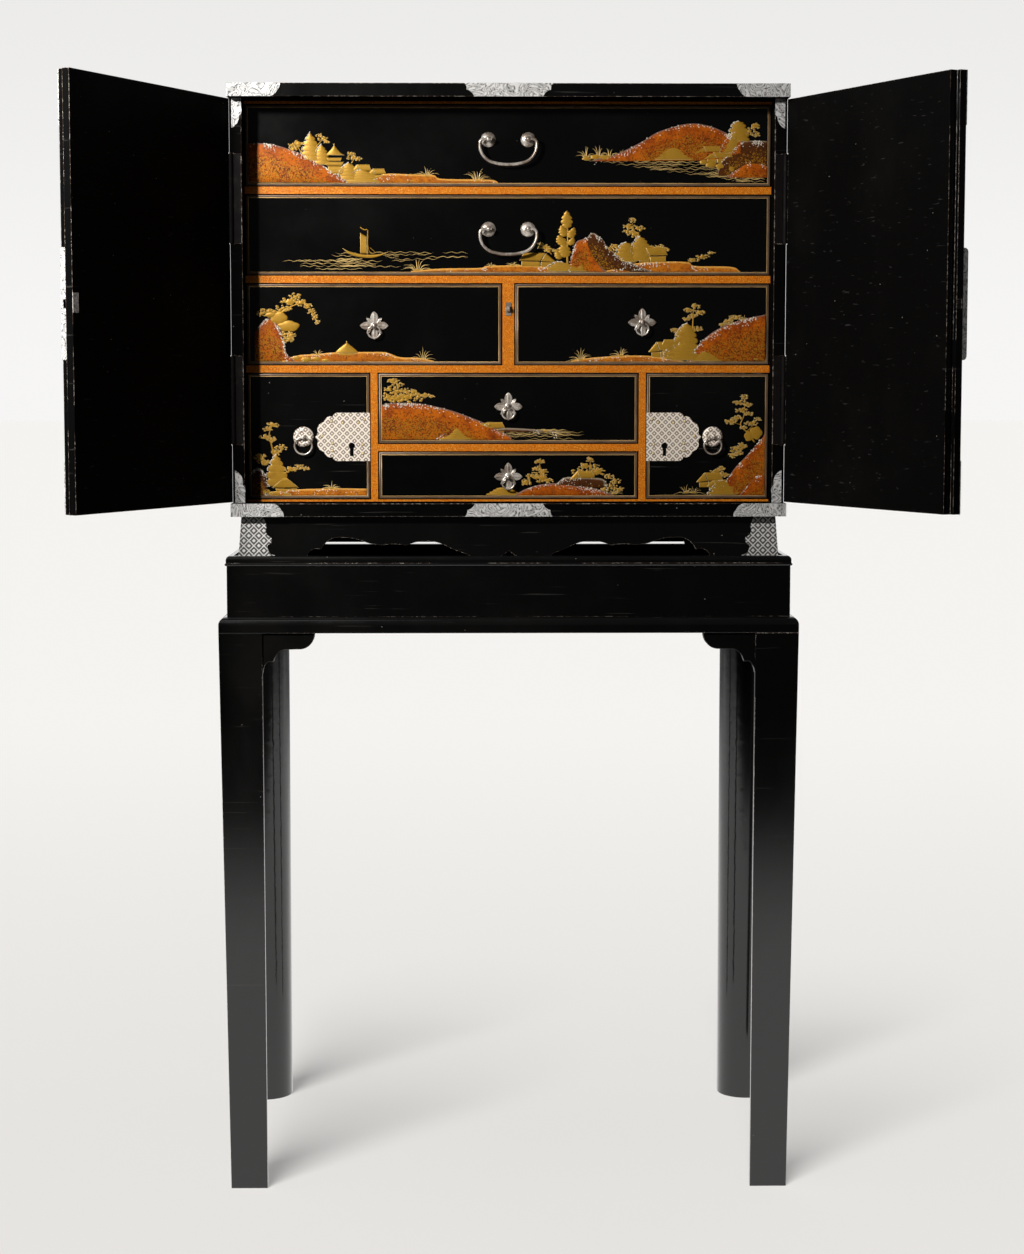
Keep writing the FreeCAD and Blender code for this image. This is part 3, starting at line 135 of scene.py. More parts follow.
# %% A helper that builds one finish
class Finish(Nodes):
    """A material under construction, with its Principled shader and its coordinates ready."""

    def __init__(self, name, **plain):
        self.material = bpy.data.materials.new(name)
        self.material.use_nodes = True
        super().__init__(self.material.node_tree)
        self.shader = self.add("BsdfPrincipled", **plain)
        self.output = self.add("OutputMaterial", Surface=self.shader.outputs[0])
        self.place = self.add("TexCoord").outputs["Object"]
        self.x, self.y, self.z = self.add("SeparateXYZ", Vector=self.place).outputs

    def set(self, **sockets):
        """Sets or wires sockets of the Principled shader."""
        self.fill(self.shader, sockets)

    def stretched(self, across, deep, high):
        """The coordinates scaled apart, so that a pattern runs along one direction."""
        return self.add("Mapping", Vector=self.place, Scale=(across, deep, high)).outputs[0]

    def noise(self, scale, detail=3.0, rough=0.5, place=None, twist=0.0):
        """A soft random level. detail adds finer and finer copies, and twist curls it."""
        return self.add("TexNoise", Vector=place or self.place, Scale=scale, Detail=detail,
                        Roughness=rough, Distortion=twist).outputs[0]

    def cells(self, scale):
        """The distance from the middle of the nearest of many small cells."""
        return self.add("TexVoronoi", Vector=self.place, Scale=scale).outputs["Distance"]

    def flakes(self, scale):
        """Three random numbers that are the same all over each small cell."""
        colour = self.add("TexVoronoi", Vector=self.place, Scale=scale).outputs["Color"]
        return self.add("SeparateColor", Color=colour).outputs

    def mark(self, name):
        """A number that a relief carries at its points."""
        return self.add("Attribute", {"attribute_name": name}).outputs["Fac"]

    def bump(self, height, depth, strength=1.0, **more):
        """Small relief of a real depth in metres, for what is finer than any mesh here."""
        return self.add("Bump", Height=height, Distance=depth, Strength=strength, **more).outputs[0]

    def worn_edge(self, radius):
        """1 on sharp edges, 0 on flat faces: the angle between the face and its rounded copy.
        The rounded copy's own direction comes second."""
        soft = self.add("Bevel", {"samples": 6}, Radius=radius).outputs[0]
        true = self.add("NewGeometry").outputs["True Normal"]
        same = self.add("VectorMath", {"operation": "DOT_PRODUCT"}, {0: soft, 1: true})
        return self.spread(same.outputs["Value"], 0.995, 0.8), soft


# %% Colours and dressing
def grey(level, warm=0.0):
    """A colour of one level, slightly warmer or cooler."""
    return (level * (1 + warm), level, level * (1 - warm), 1)


def dress(material, *names):
    """Gives CAD nodes their finish."""
    for name in names:
        nodes[name].data.materials.clear()
        nodes[name].data.materials.append(material)
    print(material.name, "on", len(names), "nodes")


print("a middle grey is", grey(0.5))

# %% [markdown]
# ## Black lacquer
# Real lacquer is many coats of polished black sap over wood: nearly no colour, a hard gloss, a
# faint haze of handling, and hairline scratches. Along edges the coats wear thin, so brown ground
# coats and pale chips show. A low base colour with a clear coat gives the depth, noise makes the
# haze, and a rounded copy of each edge says where the wear goes and softens the edge's glint.


# %% Masks for lacquer that was never polished
DOORS_OPEN = math.radians(115.2)


def up_to(f, way, face):
    """1 on all that lies up to a flat face along one way, and 0 just past the face."""
    return f.spread(way, face + 0.3 * MM, face + 0.2 * MM)


def inside_case(f):
    """1 on the faces that look into the case and in a strip behind the side boards' front edges."""
    low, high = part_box("case_side_right")
    up = f.math("ABSOLUTE", f.math("SUBTRACT", f.z, (low.z + high.z) / 2))
    between = up_to(f, up, (high.z - low.z) / 2)
    inner = f.math("MULTIPLY", up_to(f, f.math("ABSOLUTE", f.x), low.x),
                   up_to(f, f.y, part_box("case_back")[0].y))
    strip = f.spread(f.y, low.y + 6 * MM, low.y + 3.5 * MM)
    return f.math("MULTIPLY", between, f.math("MAXIMUM", inner, strip))


def inner_door_faces(f):
    """1 on the faces that the open doors turn towards each other. Measured straight across an
    open door, those faces lie nearest to the middle of the cabinet."""
    across, deep = math.sin(DOORS_OPEN), -math.cos(DOORS_OPEN)
    panel = nodes["right_door_panel"].data
    places = np.empty(3 * len(panel.vertices))
    panel.vertices.foreach_get("co", places)
    nearest = (places.reshape(-1, 3) @ (across, deep, 0)).min()
    away = f.math("ADD", f.math("MULTIPLY", f.math("ABSOLUTE", f.x), across),
                  f.math("MULTIPLY", f.y, deep))
    return up_to(f, away, nearest)


def top_of_deck(f):
    """1 on the upper face of the stand's deck."""
    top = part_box("stand_deck")[1].z
    return f.spread(f.z, top - 0.3 * MM, top - 0.2 * MM)


print("the doors stand open at", round(math.degrees(DOORS_OPEN), 1), "degrees")

# %% Black lacquer
BROWN_COAT, PALE_CHIP = (0.085, 0.044, 0.028, 1), (0.62, 0.56, 0.48, 1)
DULL_CHIP = (0.38, 0.35, 0.31, 1)


def black_lacquer(name, body, wear, wood=0.0, coat=0.5, dull=None, bare=0.0):
    """Glossy black over wood: body is its level, wear the share of each edge that is worn, dull a
    mask of the faces that were given fewer coats and never polished, and bare their specular."""
    f = Finish(name, Coat_Roughness=0.07)
    haze = f.noise(5.0, 5.0, 0.6)
    smear = f.noise(9.0, 4.0, 0.65, f.stretched(1.0, 1.0, 0.22), 0.6)
    scratch = f.spread(f.noise(60.0, 2.0, 0.5, f.stretched(0.15, 1.0, 6.0), 0.3), 0.68, 0.74)
    base = f.blend(f.spread(haze, 0.45, 0.8), grey(body), grey(body * 2.2, 0.08))
    base = f.blend(f.math("MULTIPLY", scratch, 0.16), base, grey(0.12, 0.05))
    edge, soft = f.worn_edge(0.0014)
    patchy = f.spread(f.noise(16.0, 3.0, 0.6), 0.62 - wear, 0.72 - wear)
    speck = f.spread(f.noise(230.0, 2.0, 0.7), 0.50, 0.58)
    brown = f.math("MULTIPLY", edge, f.math("MULTIPLY", patchy, 0.80))
    pale = f.math("MULTIPLY", brown, speck)
    base = f.blend(brown, base, BROWN_COAT)
    base = f.blend(pale, base, PALE_CHIP)
    chips = f.spread(f.cells(44.0), 0.036, 0.020)
    base = f.blend(f.math("MULTIPLY", chips, 0.55), base, DULL_CHIP)
    grain = f.noise(30.0, 3.0, 0.5, f.stretched(6.0, 6.0, 0.35))
    rise = f.math("ADD", f.math("MULTIPLY", grain, wood), f.math("MULTIPLY", haze, 0.5))
    rough = f.math("ADD", f.spread(smear, 0.3, 0.75, 0.10, 0.21), f.math("MULTIPLY", brown, 0.35))
    f.set(Base_Color=base, Roughness=rough, Normal=f.bump(rise, 0.0002, 0.35, Normal=soft),
          Coat_Weight=coat)
    if dull:
        share = dull(f)
        f.set(Coat_Weight=f.spread(share, 0.0, 1.0, coat, 0.0),
              Roughness=f.math("ADD", rough, f.math("MULTIPLY", share, 0.45)),
              Specular_IOR_Level=f.spread(share, 0.0, 1.0, 0.5, bare))
    return f.material


LEGS = ["leg_" + corner for corner in ("front_left", "back_left", "front_right", "back_right")]
dress(black_lacquer("case_lacquer", 0.0021, 0.28, dull=inside_case),
      "case_top", "case_bottom", "case_back", "case_side_left", "case_side_right")
dress(black_lacquer("base_lacquer", 0.0021, 0.50), "base_boards")
dress(black_lacquer("deck_lacquer", 0.0026, 0.12, coat=0.4, dull=top_of_deck), "stand_deck")
dress(black_lacquer("door_lacquer", 0.0021, 0.24, dull=inner_door_faces, bare=0.014),
      "left_door_panel", "right_door_panel")
dress(black_lacquer("front_lacquer", 0.0021, 0.12), "inner_door_left", "inner_door_right")
dress(black_lacquer("stand_lacquer", 0.0034, 0.19, wood=0.8, coat=0.85), *LEGS,
      "lower_frame", "frieze_boards", "deck_moulding", "leg_brackets")

# %% [markdown]
# ## Drawers
# A drawer's front is lacquered like the case, but its box behind is thin wood with only a wash of
# dark lacquer, so the grain shows when the drawer is pulled. One finish does both: where the
# board lies further back than the front's thickness, it turns from gloss to the washed wood.

# %% Drawer finish
FRONT_THICKNESS = 12 * MM
BANK_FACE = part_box("upper_drawer")[0].y
LIGHT_WOOD, DARK_WOOD = (0.15, 0.075, 0.034, 1), (0.060, 0.028, 0.013, 1)
WOOD_PORE = (0.03, 0.014, 0.008, 1)
f = Finish("drawer_lacquer", Coat_Roughness=0.07, Coat_Weight=0.4)
behind = f.spread(f.y, BANK_FACE + FRONT_THICKNESS - MM, BANK_FACE + FRONT_THICKNESS)
haze = f.noise(6.0, 5.0, 0.6)
dust = f.spread(f.cells(60.0), 0.028, 0.012)
gloss = f.blend(f.spread(haze, 0.45, 0.85), grey(0.0017), grey(0.0034, 0.06))
gloss = f.blend(f.math("MULTIPLY", dust, 0.30), gloss, grey(0.30, 0.04))
rings = f.noise(24.0, 5.0, 0.6, f.stretched(4.0, 0.25, 5.0), 0.8)
wood = f.blend(f.spread(rings, 0.3, 0.7), DARK_WOOD, LIGHT_WOOD)
pores = f.spread(f.noise(120.0, 2.0, 0.5, f.stretched(5.0, 0.12, 5.0)), 0.6, 0.7)
wood = f.blend(f.math("MULTIPLY", pores, 0.6), wood, WOOD_PORE)
f.set(Base_Color=f.blend(behind, gloss, wood),
      Roughness=f.math("ADD", f.math("MULTIPLY", behind, 0.40), f.spread(haze, 0.3, 0.8, 0.10, 0.2)),
      Normal=f.bump(f.math("ADD", f.math("MULTIPLY", rings, behind), f.math("MULTIPLY", haze, 0.5)),
                    0.0002, 0.4))
dress(f.material, "upper_drawer", "middle_drawer", "third_drawer_left", "third_drawer_right",
      "centre_drawer_upper", "centre_drawer_lower")

# %% [markdown]
# ## Orange lacquer with gold flakes
# The rails between the drawers are pear-skin ground: irregular gold flakes are strewn in wet
# lacquer and covered with orange-yellow clear coats. Each flake lies at its own tilt, so some
# glint and some sink. Voronoi cells a little under a millimetre wide give each flake its own
# brightness, and a few flakes get a bright colour that is a painted glint. Only the face of the
# bank has it. Further in the boards are plain black.

# %% Rail finish
DEEP_FLAKE, HIGH_FLAKE = (0.42, 0.094, 0.003, 1), (0.76, 0.235, 0.010, 1)
PAINTED_GLINT, RED_CLOUD = (0.90, 0.47, 0.09, 1), (0.40, 0.080, 0.004, 1)
RUBBED_EDGE = (0.10, 0.032, 0.012, 1)
f = Finish("rail_lacquer", Coat_Weight=0.15, Coat_Roughness=0.12, Specular_IOR_Level=0.3)
flake = f.flakes(1500.0)
tint = f.blend(f.spread(flake[0], 0.1, 0.95), DEEP_FLAKE, HIGH_FLAKE)
# The flakes picked here get a bright colour, a painted glint, and some metal.
glint = f.spread(flake[1], 0.88, 0.95)
tint = f.blend(glint, tint, PAINTED_GLINT)
cloud = f.noise(22.0, 4.0, 0.6)
tint = f.blend(f.spread(cloud, 0.5, 0.8, 0.0, 0.45), tint, RED_CLOUD)
edge = f.worn_edge(0.0008)[0]
rubbed = f.math("MULTIPLY", edge, f.spread(f.noise(90.0, 3.0, 0.7), 0.45, 0.62))
tint = f.blend(f.math("MULTIPLY", rubbed, 0.7), tint, RUBBED_EDGE)
inside = f.spread(f.y, BANK_FACE + 2 * MM, BANK_FACE + 4 * MM)
f.set(Base_Color=f.blend(inside, tint, grey(0.008, 0.1)),
      Roughness=f.spread(flake[2], 0.0, 1.0, 0.22, 0.40),
      Metallic=f.math("MULTIPLY", glint, 0.5),
      Normal=f.bump(flake[0], 0.00006, 0.5))
dress(f.material, "shelf_upper", "shelf_middle", "shelf_lower", "third_row_divider",
      "low_dividers", "centre_shelf", "bank_trim_rails")

# %% [markdown]
# ## Engraved silvered mounts
# The corner mounts are thin copper sheet, silvered, with scrolls left standing in a ground that
# is punched all over with a ring tool. The lock plates and the base's mounts carry a diagonal
# lattice with a small square in each opening. The punch marks and lines are finer than half a
# millimetre, so they are bump, with dark tarnish in what is low and bright metal on what is high.


# %% Two engraved patterns
def lattice(f, pitch, strip, stud, plate=0.50):
    """Height of a diagonal lattice. Each diagonal coordinate is folded to its distance from the
    nearest strip, and a stud stands where both distances are nearly half a pitch. A groove runs
    along each strip and round each stud, and between them is the plate, at its own level."""
    half = pitch / 2
    diagonals = [f.math("MULTIPLY", f.math(way, f.x, f.z), math.sqrt(0.5))
                 for way in ("ADD", "SUBTRACT")]
    away = [f.math("PINGPONG", d, half) for d in diagonals]
    strips = [f.spread(a, strip * 0.62, strip * 0.42) for a in away]
    cut = [f.spread(a, strip * 1.7, strip * 0.9) for a in away]
    studs = [f.spread(a, half - stud * 0.6, half - stud * 0.45) for a in away]
    beside = [f.spread(a, half - stud * 1.1, half - stud * 0.7) for a in away]
    groove = f.math("MAXIMUM", f.math("MAXIMUM", cut[0], cut[1]),
                    f.math("MULTIPLY", beside[0], beside[1]))
    ground = f.spread(groove, 0.0, 1.0, plate, 0.0)
    return f.math("MAXIMUM", f.math("MAXIMUM", ground, f.math("MULTIPLY", studs[0], studs[1])),
                  f.math("MAXIMUM", strips[0], strips[1]))


def scrolls(f):
    """Height of leafy scrolls: level lines of a smooth noise, on a ground of punched rings."""
    field = f.noise(36.0, 1.2, twist=1.8)
    line = f.math("PINGPONG", field, 0.050)
    standing = f.spread(line, 0.027, 0.020)
    ring = f.cells(430.0)
    ground = f.math("MULTIPLY", f.spread(ring, 0.15, 0.55), 0.42)
    return f.math("MAXIMUM", standing, ground)


print("patterns ready: lattice and scrolls")

# %% Silvered sheet
SILVER, TARNISH = (0.66, 0.65, 0.635, 1), (0.070, 0.066, 0.062, 1)
RIVET_FOOT, RIVET_CROWN = (0.035, 0.022, 0.012, 1), (0.72, 0.56, 0.30, 1)
ENGRAVED = 0.26 * MM


def silvered(name, height, depth, metal=SILVER, low=TARNISH, rivets=None):
    """Silvered copper: bright where high, tarnished where low, rubbed in soft patches. depth is
    how deep the engraving goes, in metres. rivets marks the brass rivet heads: dark round the
    foot of each, bright on its crown."""
    f = Finish(name, Specular_IOR_Level=0.35)
    rise = height(f)
    patch = f.spread(f.noise(26.0, 4.0, 0.6), 0.35, 0.75)
    bright = f.blend(f.math("MULTIPLY", patch, 0.35), metal, [c * 0.78 for c in metal[:3]] + [1])
    tint = f.blend(f.spread(rise, 0.05, 0.75), low, bright)
    if rivets:
        head = rivets(f)
        tint = f.blend(f.spread(head, 0.0, 0.4), tint, RIVET_FOOT)
        tint = f.blend(f.spread(head, 0.6, 1.0), tint, RIVET_CROWN)
    f.set(Base_Color=tint, Metallic=f.spread(rise, 0.1, 0.7, 0.05, 0.22),
          Roughness=f.spread(patch, 0.0, 1.0, 0.46, 0.58), Normal=f.bump(rise, depth))
    return f.material


def base_or_case(f):
    """The lattice on the base's mounts, the scrolls on the mounts of the case above them."""
    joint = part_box("case_bottom")[0].z
    below = f.spread(f.z, joint, joint - MM)
    return f.math("ADD", f.math("MULTIPLY", below, lattice(f, 8.7 * MM, 1.3 * MM, 3.2 * MM)),
                  f.math("MULTIPLY", f.math("SUBTRACT", 1.0, below), scrolls(f)))


dress(silvered("corner_silver", base_or_case, ENGRAVED), "silver_mounts")
dress(silvered("door_mount_silver", scrolls, ENGRAVED), "left_door_mounts", "right_door_mounts")

# %% Lock plates
LOCK_SILVER, LOCK_TARNISH = (0.91, 0.81, 0.70, 1), (0.25, 0.20, 0.155, 1)
BOSS_RADIUS, PLATE_FRONT, CROWN = 13.2 * MM, 1.05 * MM, 1.5 * MM


def lock_lattice(f):
    """The lattice of a lock plate: wide strips on a low ground."""
    return lattice(f, 6.6 * MM, 1.8 * MM, 1.8 * MM, 0.0)


def rivet_heads(f):
    """0 on a lock plate's sheet and on the round boss beside it, up to 0.5 at the foot of each
    rivet head, and 1 on its crown."""
    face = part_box("inner_door_left")[0].y
    ring_left, ring_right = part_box("inner_ring_left")
    boss_edge = abs(ring_left.x + ring_right.x) / 2 - BOSS_RADIUS
    foot = f.spread(f.y, face - PLATE_FRONT, face - PLATE_FRONT - 0.07 * MM, 0.0, 0.5)
    crown = f.spread(f.y, face - CROWN, face - CROWN - 0.1 * MM, 0.0, 0.5)
    on_plate = f.math("LESS_THAN", f.math("ABSOLUTE", f.x), boss_edge)
    return f.math("MULTIPLY", f.math("ADD", foot, crown), on_plate)


dress(silvered("lock_silver", lock_lattice, 0.08 * MM, LOCK_SILVER, LOCK_TARNISH, rivet_heads),
      "inner_lock_left", "inner_lock_right")

# %% [markdown]
# ## Pulls, hinges and iron
# The bails, rings and flowers are cast and burnished, warmer than the plates, and dark where a
# finger never rubs. The hinges have gone almost black. The bolts are plain blackened iron.


# %% Plain metals
def plain_metal(name, bright, dark, rough, amount, metallic=0.9, gloss=0.3):
    """Metal with a cloudy tarnish: amount is the share of the surface that has darkened."""
    f = Finish(name, Specular_IOR_Level=gloss)
    cloud = f.noise(70.0, 4.0, 0.65)
    fine = f.noise(900.0, 2.0, 0.6)
    tarnish = f.spread(cloud, 0.75 - amount, 1.0 - amount)
    f.set(Base_Color=f.blend(tarnish, bright, dark), Metallic=metallic,
          Roughness=f.math("ADD", f.spread(cloud, 0.2, 0.8, rough * 0.8, rough * 1.3),
                           f.math("MULTIPLY", tarnish, 0.12)),
          Normal=f.bump(fine, 0.00004, 0.5))
    return f.material


SMALL_PULLS = ("third_left", "third_right", "centre_upper", "centre_lower")
PULL_METAL = plain_metal("pull_metal", (0.78, 0.71, 0.63, 1), (0.24, 0.19, 0.15, 1), 0.27, 0.40, 0.6)
dress(PULL_METAL, "upper_bail", "middle_bail", "upper_bail_posts", "middle_bail_posts",
      *(place + "_flower" for place in SMALL_PULLS), *(place + "_ring" for place in SMALL_PULLS),
      "inner_ring_left", "inner_ring_right", "door_catch_staple")
dress(plain_metal("hinge_metal", (0.012, 0.010, 0.008, 1), (0.004, 0.003, 0.003, 1), 0.45, 0.5,
                  metallic=0.1, gloss=0.08),
      "case_hinge_leaves", "left_door_leaves", "right_door_leaves", "inner_door_pivots", "hinge_pins")
dress(plain_metal("blackened_iron", (0.10, 0.09, 0.085, 1), (0.03, 0.022, 0.018, 1), 0.42, 0.4, 0.8),
      "door_bolt", "inner_bolt_left", "inner_bolt_right")

# %% [markdown]
# ## Gold, rust and silver for the pictures
# The pictures are raised sprinkled work. A design is built up in layers of lacquer and charcoal,
# and gold powder is dusted on while the last coat is wet. Every form gets a thin pale outline
# along its rim, which is a painted highlight. The hills are orange-brown, with gold dust thicker
# towards their feet and a soft grey band along the crest. The finishes read two marks that each
# relief carries at its points, in millimetres: the distance in from its rim and the drop below
# its crest.


# %% Gold powder
def gold_powder():
    """Dusted gold: two golds mixed grain by grain, worn patches and a painted highlight along the rim.
    """
    f = Finish("gold_powder", Metallic=0.3, Specular_IOR_Level=0.3)
    dust = f.noise(2600.0, 2.0, 0.7)
    worn = f.spread(f.noise(70.0, 4.0, 0.6), 0.52, 0.75, 0.0, 0.55)
    tint = f.blend(f.spread(dust, 0.35, 0.65), (0.31, 0.152, 0.008, 1), (0.49, 0.268, 0.028, 1))
    tint = f.blend(worn, tint, (0.29, 0.145, 0.009, 1))
    # Pale gold along each form's rim: a painted highlight.
    tint = f.blend(f.spread(f.mark("rim"), 0.50, 0.12), tint, (0.80, 0.60, 0.26, 1))
    f.set(Base_Color=tint, Roughness=0.42, Normal=f.bump(dust, 0.00005, 0.6))
    return f.material


GOLD = gold_powder()
print("finish:", GOLD.name)


# %% The ground of the hills
def rust_hill(name, top, foot, ridge):
    """Orange-brown ground: a cloudy mix of the top and foot colours, with more gold and dark
    specks further down, and the ridge colour in a soft band along the crest."""
    f = Finish(name, Coat_Weight=0.05, Coat_Roughness=0.15, Specular_IOR_Level=0.15)
    drop = f.mark("drop")
    speck = f.flakes(950.0)
    cloud = f.noise(44.0, 5.0, 0.65)
    mottle = f.noise(340.0, 4.0, 0.7)
    low = f.spread(f.math("ADD", f.spread(drop, 5.0, 30.0), f.math("MULTIPLY", cloud, 0.6)), 0.3, 1.3)
    tint = f.blend(f.spread(cloud, 0.38, 0.62), top, foot)
    deep = [channel * 0.38 for channel in foot[:3]] + [1]
    tint = f.blend(f.spread(mottle, 0.50, 0.66, 0.0, 0.70), tint, deep)
    golden = f.math("LESS_THAN", speck[0], f.math("MULTIPLY", low, 0.36))
    dark = f.math("LESS_THAN", speck[1], f.math("ADD", f.math("MULTIPLY", low, 0.26), 0.05))
    tint = f.blend(f.math("MULTIPLY", dark, 0.85), tint, (0.070, 0.017, 0.003, 1))
    tint = f.blend(f.math("MULTIPLY", golden, 0.80), tint, (0.42, 0.190, 0.014, 1))
    edge = f.math("ADD", drop, f.math("MULTIPLY", f.noise(150.0, 2.0), 2.0))
    band = f.spread(edge, 4.2, 2.0)
    tint = f.blend(f.math("MULTIPLY", band, 0.9), tint, ridge)
    f.set(Base_Color=tint, Roughness=f.spread(cloud, 0.3, 0.7, 0.30, 0.45),
          Metallic=f.math("MULTIPLY", golden, 0.4), Normal=f.bump(speck[0], 0.00006, 0.5))
    return f.material


RUST = rust_hill("rust_hill", (0.47, 0.108, 0.005, 1), (0.27, 0.046, 0.002, 1), (0.17, 0.105, 0.085, 1))
BROWN = rust_hill("brown_hill", (0.090, 0.027, 0.006, 1), (0.055, 0.016, 0.003, 1),
                  (0.26, 0.20, 0.14, 1))
SHORE = rust_hill("orange_shore", (0.52, 0.165, 0.012, 1), (0.37, 0.098, 0.006, 1),
                  (0.66, 0.32, 0.06, 1))
print("finishes:", RUST.name, BROWN.name, SHORE.name)


# %% Dots and lines
def silver_flecks():
    """Dots of silver dust, for the lichen and the lines on the stones."""
    f = Finish("silver_flecks", Metallic=0.3)
    dust = f.noise(1800.0, 2.0, 0.6)
    tint = f.blend(f.spread(dust, 0.3, 0.7), (0.46, 0.41, 0.33, 1), (0.86, 0.82, 0.72, 1))
    f.set(Base_Color=tint, Roughness=0.40, Normal=f.bump(dust, 0.00005, 0.5))
    return f.material


def ruled_line(name, whole, worn, grain, scale, worn_from, grain_from, rough, **plain):
    """A drawn line: the whole colour, the worn one in patches, and bright grain on top. scale
    sets the patches, and worn_from and grain_from are the levels where they and the grain start."""
    f = Finish(name, **plain)
    patches = f.spread(f.noise(scale, 5.0, 0.65), worn_from, 0.7)
    dust = f.noise(2200.0, 2.0, 0.6)
    tint = f.blend(patches, whole, worn)
    tint = f.blend(f.spread(dust, grain_from, 0.75, 0.0, 0.4), tint, grain)
    f.set(Base_Color=tint, Roughness=rough, Normal=f.bump(dust, 0.00004, 0.5))
    return f.material


FLECKS = silver_flecks()
BRONZE = ruled_line("bronze_line", (0.150, 0.094, 0.056, 1), (0.085, 0.052, 0.034, 1),
                    (0.28, 0.19, 0.11, 1), 40.0, 0.35, 0.55, 0.36, Metallic=0.2)
PALE_LINE = ruled_line("pale_gold_line", (0.60, 0.365, 0.130, 1), (0.33, 0.185, 0.062, 1),
                       (0.72, 0.54, 0.30, 1), 34.0, 0.42, 0.5, 0.40, Metallic=0.3,
                       Specular_IOR_Level=0.3)
print("finishes:", FLECKS.name, BRONZE.name, PALE_LINE.name)

# %% [markdown]
# ## How a relief is made
# Every form on a front is one of two surfaces. The first lies between two lines, such as a
# hill's crest and its foot, or the two edges of a blade of grass. The second lies round a
# centre, such as a leaf pad or a stone. Both are domed a few tenths of a millimetre out of the
# lacquer and close behind it, just inside the board, so each is a whole solid form. A front's
# places are in millimetres from its lower left corner, and a third number is the height out
# of the board.

# %% Lines and curves
SUNK = 0.12   # how far every form reaches into the board, in millimetres
rng = np.random.default_rng(7)


def through(places, count):
    """A smooth line through places: cubic pieces, each with the slope of its neighbours' chord."""
    p = np.asarray(places, float)
    t = np.linspace(0, len(p) - 1, count)
    i = np.minimum(t.astype(int), len(p) - 2)
    s = (t - i)[:, None]
    slope = np.gradient(p, axis=0)
    return ((2 * s**3 - 3 * s**2 + 1) * p[i] + (s**3 - 2 * s**2 + s) * slope[i]
            + (3 * s**2 - 2 * s**3) * p[i + 1] + (s**3 - s**2) * slope[i + 1])


def sides_of(path, half_width):
    """The two edges of a stroke: the path moved by half its width along its own normal."""
    path = np.asarray(path, float)
    along = np.gradient(path, axis=-2)
    along /= np.maximum(np.linalg.norm(along, axis=-1, keepdims=True), 1e-9)
    normal = np.stack([-along[..., 1], along[..., 0]], -1)
    reach = np.asarray(half_width, float)[..., None]
    return path + normal * reach, path - normal * reach


print("random draws start from", rng.bit_generator.__class__.__name__)


# %% What one relief gathers
class Relief:
    """All the forms of one finish on one front, gathered as arrays and made one mesh at the end."""

    def __init__(self):
        self.points, self.marks, self.faces, self.count = [], [], [], 0

    def keep(self, points, rim, drop, quads, outlines):
        """Adds points (n, 3) with their marks, four-sided faces and closing outlines."""
        self.points.append(points.reshape(-1, 3))
        self.marks.append(np.stack([rim.ravel(), drop.ravel()], 1))
        self.faces += (quads.reshape(-1, 4) + self.count).tolist()
        self.faces += (outlines + self.count).tolist()
        self.count += rim.size


print("a form reaches", SUNK, "mm into the board")


# %% Surfaces between two lines
NARROW, POINTED, NO_END = 3.0, 0.5, 1e6


def between(self, first, second, height=0.6, flatness=2.5, across=6, rim=None, ribs=0, lift=0.0):
    """Forms between pairs of lines, arrays (forms, stations, 2) or one pair (stations, 2).
    A point a share t of the way from the first line to the second rises by
    height * (1 - |2t - 1| ** flatness), less where the form is narrower than 3 mm, so that
    a pointed end closes to a point. With ribs, the top is 1 - 0.8 * sin(ribs * pi * t) ** 2 of
    that: hollows between raised edges. lift is the height of what the form lies on. Its rim
    mark is its distance to the outline, unless one mark is given for all of it."""
    first, second = (np.atleast_3d(np.asarray(a, float)) for a in (first, second))
    if first.shape[-1] != 2:
        first, second = (a.reshape(1, -1, 2) for a in (first, second))
    forms, stations = first.shape[:2]
    t = np.linspace(0, 1, across)
    t = 0.5 - 0.5 * np.cos(np.pi * t)
    t[-1] = 1.0
    flat = first[:, :, None] * (1 - t)[:, None] + second[:, :, None] * t[:, None]
    width = np.linalg.norm(first - second, axis=-1)[:, :, None]
    room = np.clip(width / NARROW, 0, 1) ** 0.5
    dome = np.maximum(1 - np.abs(2 * t - 1) ** flatness, 0)
    top = lift + height * (1 - 0.8 * np.sin(ribs * np.pi * t) ** 2)
    rise = np.broadcast_to(room * dome * (top + SUNK) - SUNK, flat.shape[:3])
    points = np.concatenate([flat, rise[..., None]], -1)
    middle = (first + second) / 2
    run = np.cumsum(np.linalg.norm(np.diff(middle, axis=1, prepend=middle[:, :1]), axis=-1), 1)
    from_start = np.where(width[:, :1] > POINTED, run[..., None], NO_END)
    from_end = np.where(width[:, -1:] > POINTED, (run[:, -1:] - run)[..., None], NO_END)
    inner = np.minimum(np.minimum(t, 1 - t) * width, np.minimum(from_start, from_end))
    rim = inner if rim is None else np.full_like(inner, rim)
    drop = t * width
    number = np.arange(rim.size).reshape(forms, stations, across)
    front = np.stack([number[:, :-1, :-1], number[:, 1:, :-1],
                      number[:, 1:, 1:], number[:, :-1, 1:]], -1)
    back = np.stack([number[:, :-1, 0], number[:, :-1, -1],
                     number[:, 1:, -1], number[:, 1:, 0]], -1)
    quads = np.concatenate([front.reshape(-1, 4), back.reshape(-1, 4)])
    caps = np.concatenate([number[:, 0], number[:, -1, ::-1]])
    self.keep(points, rim, drop, quads, caps)


def stroke(self, path, half_width, height=0.4, across=4, rim=1.0):
    """Drawn lines: a path, or many paths at once, with a half width at each station."""
    self.between(*sides_of(path, half_width), height=height, across=across, rim=rim)


Relief.between, Relief.stroke = between, stroke
print("surfaces between two lines ready")


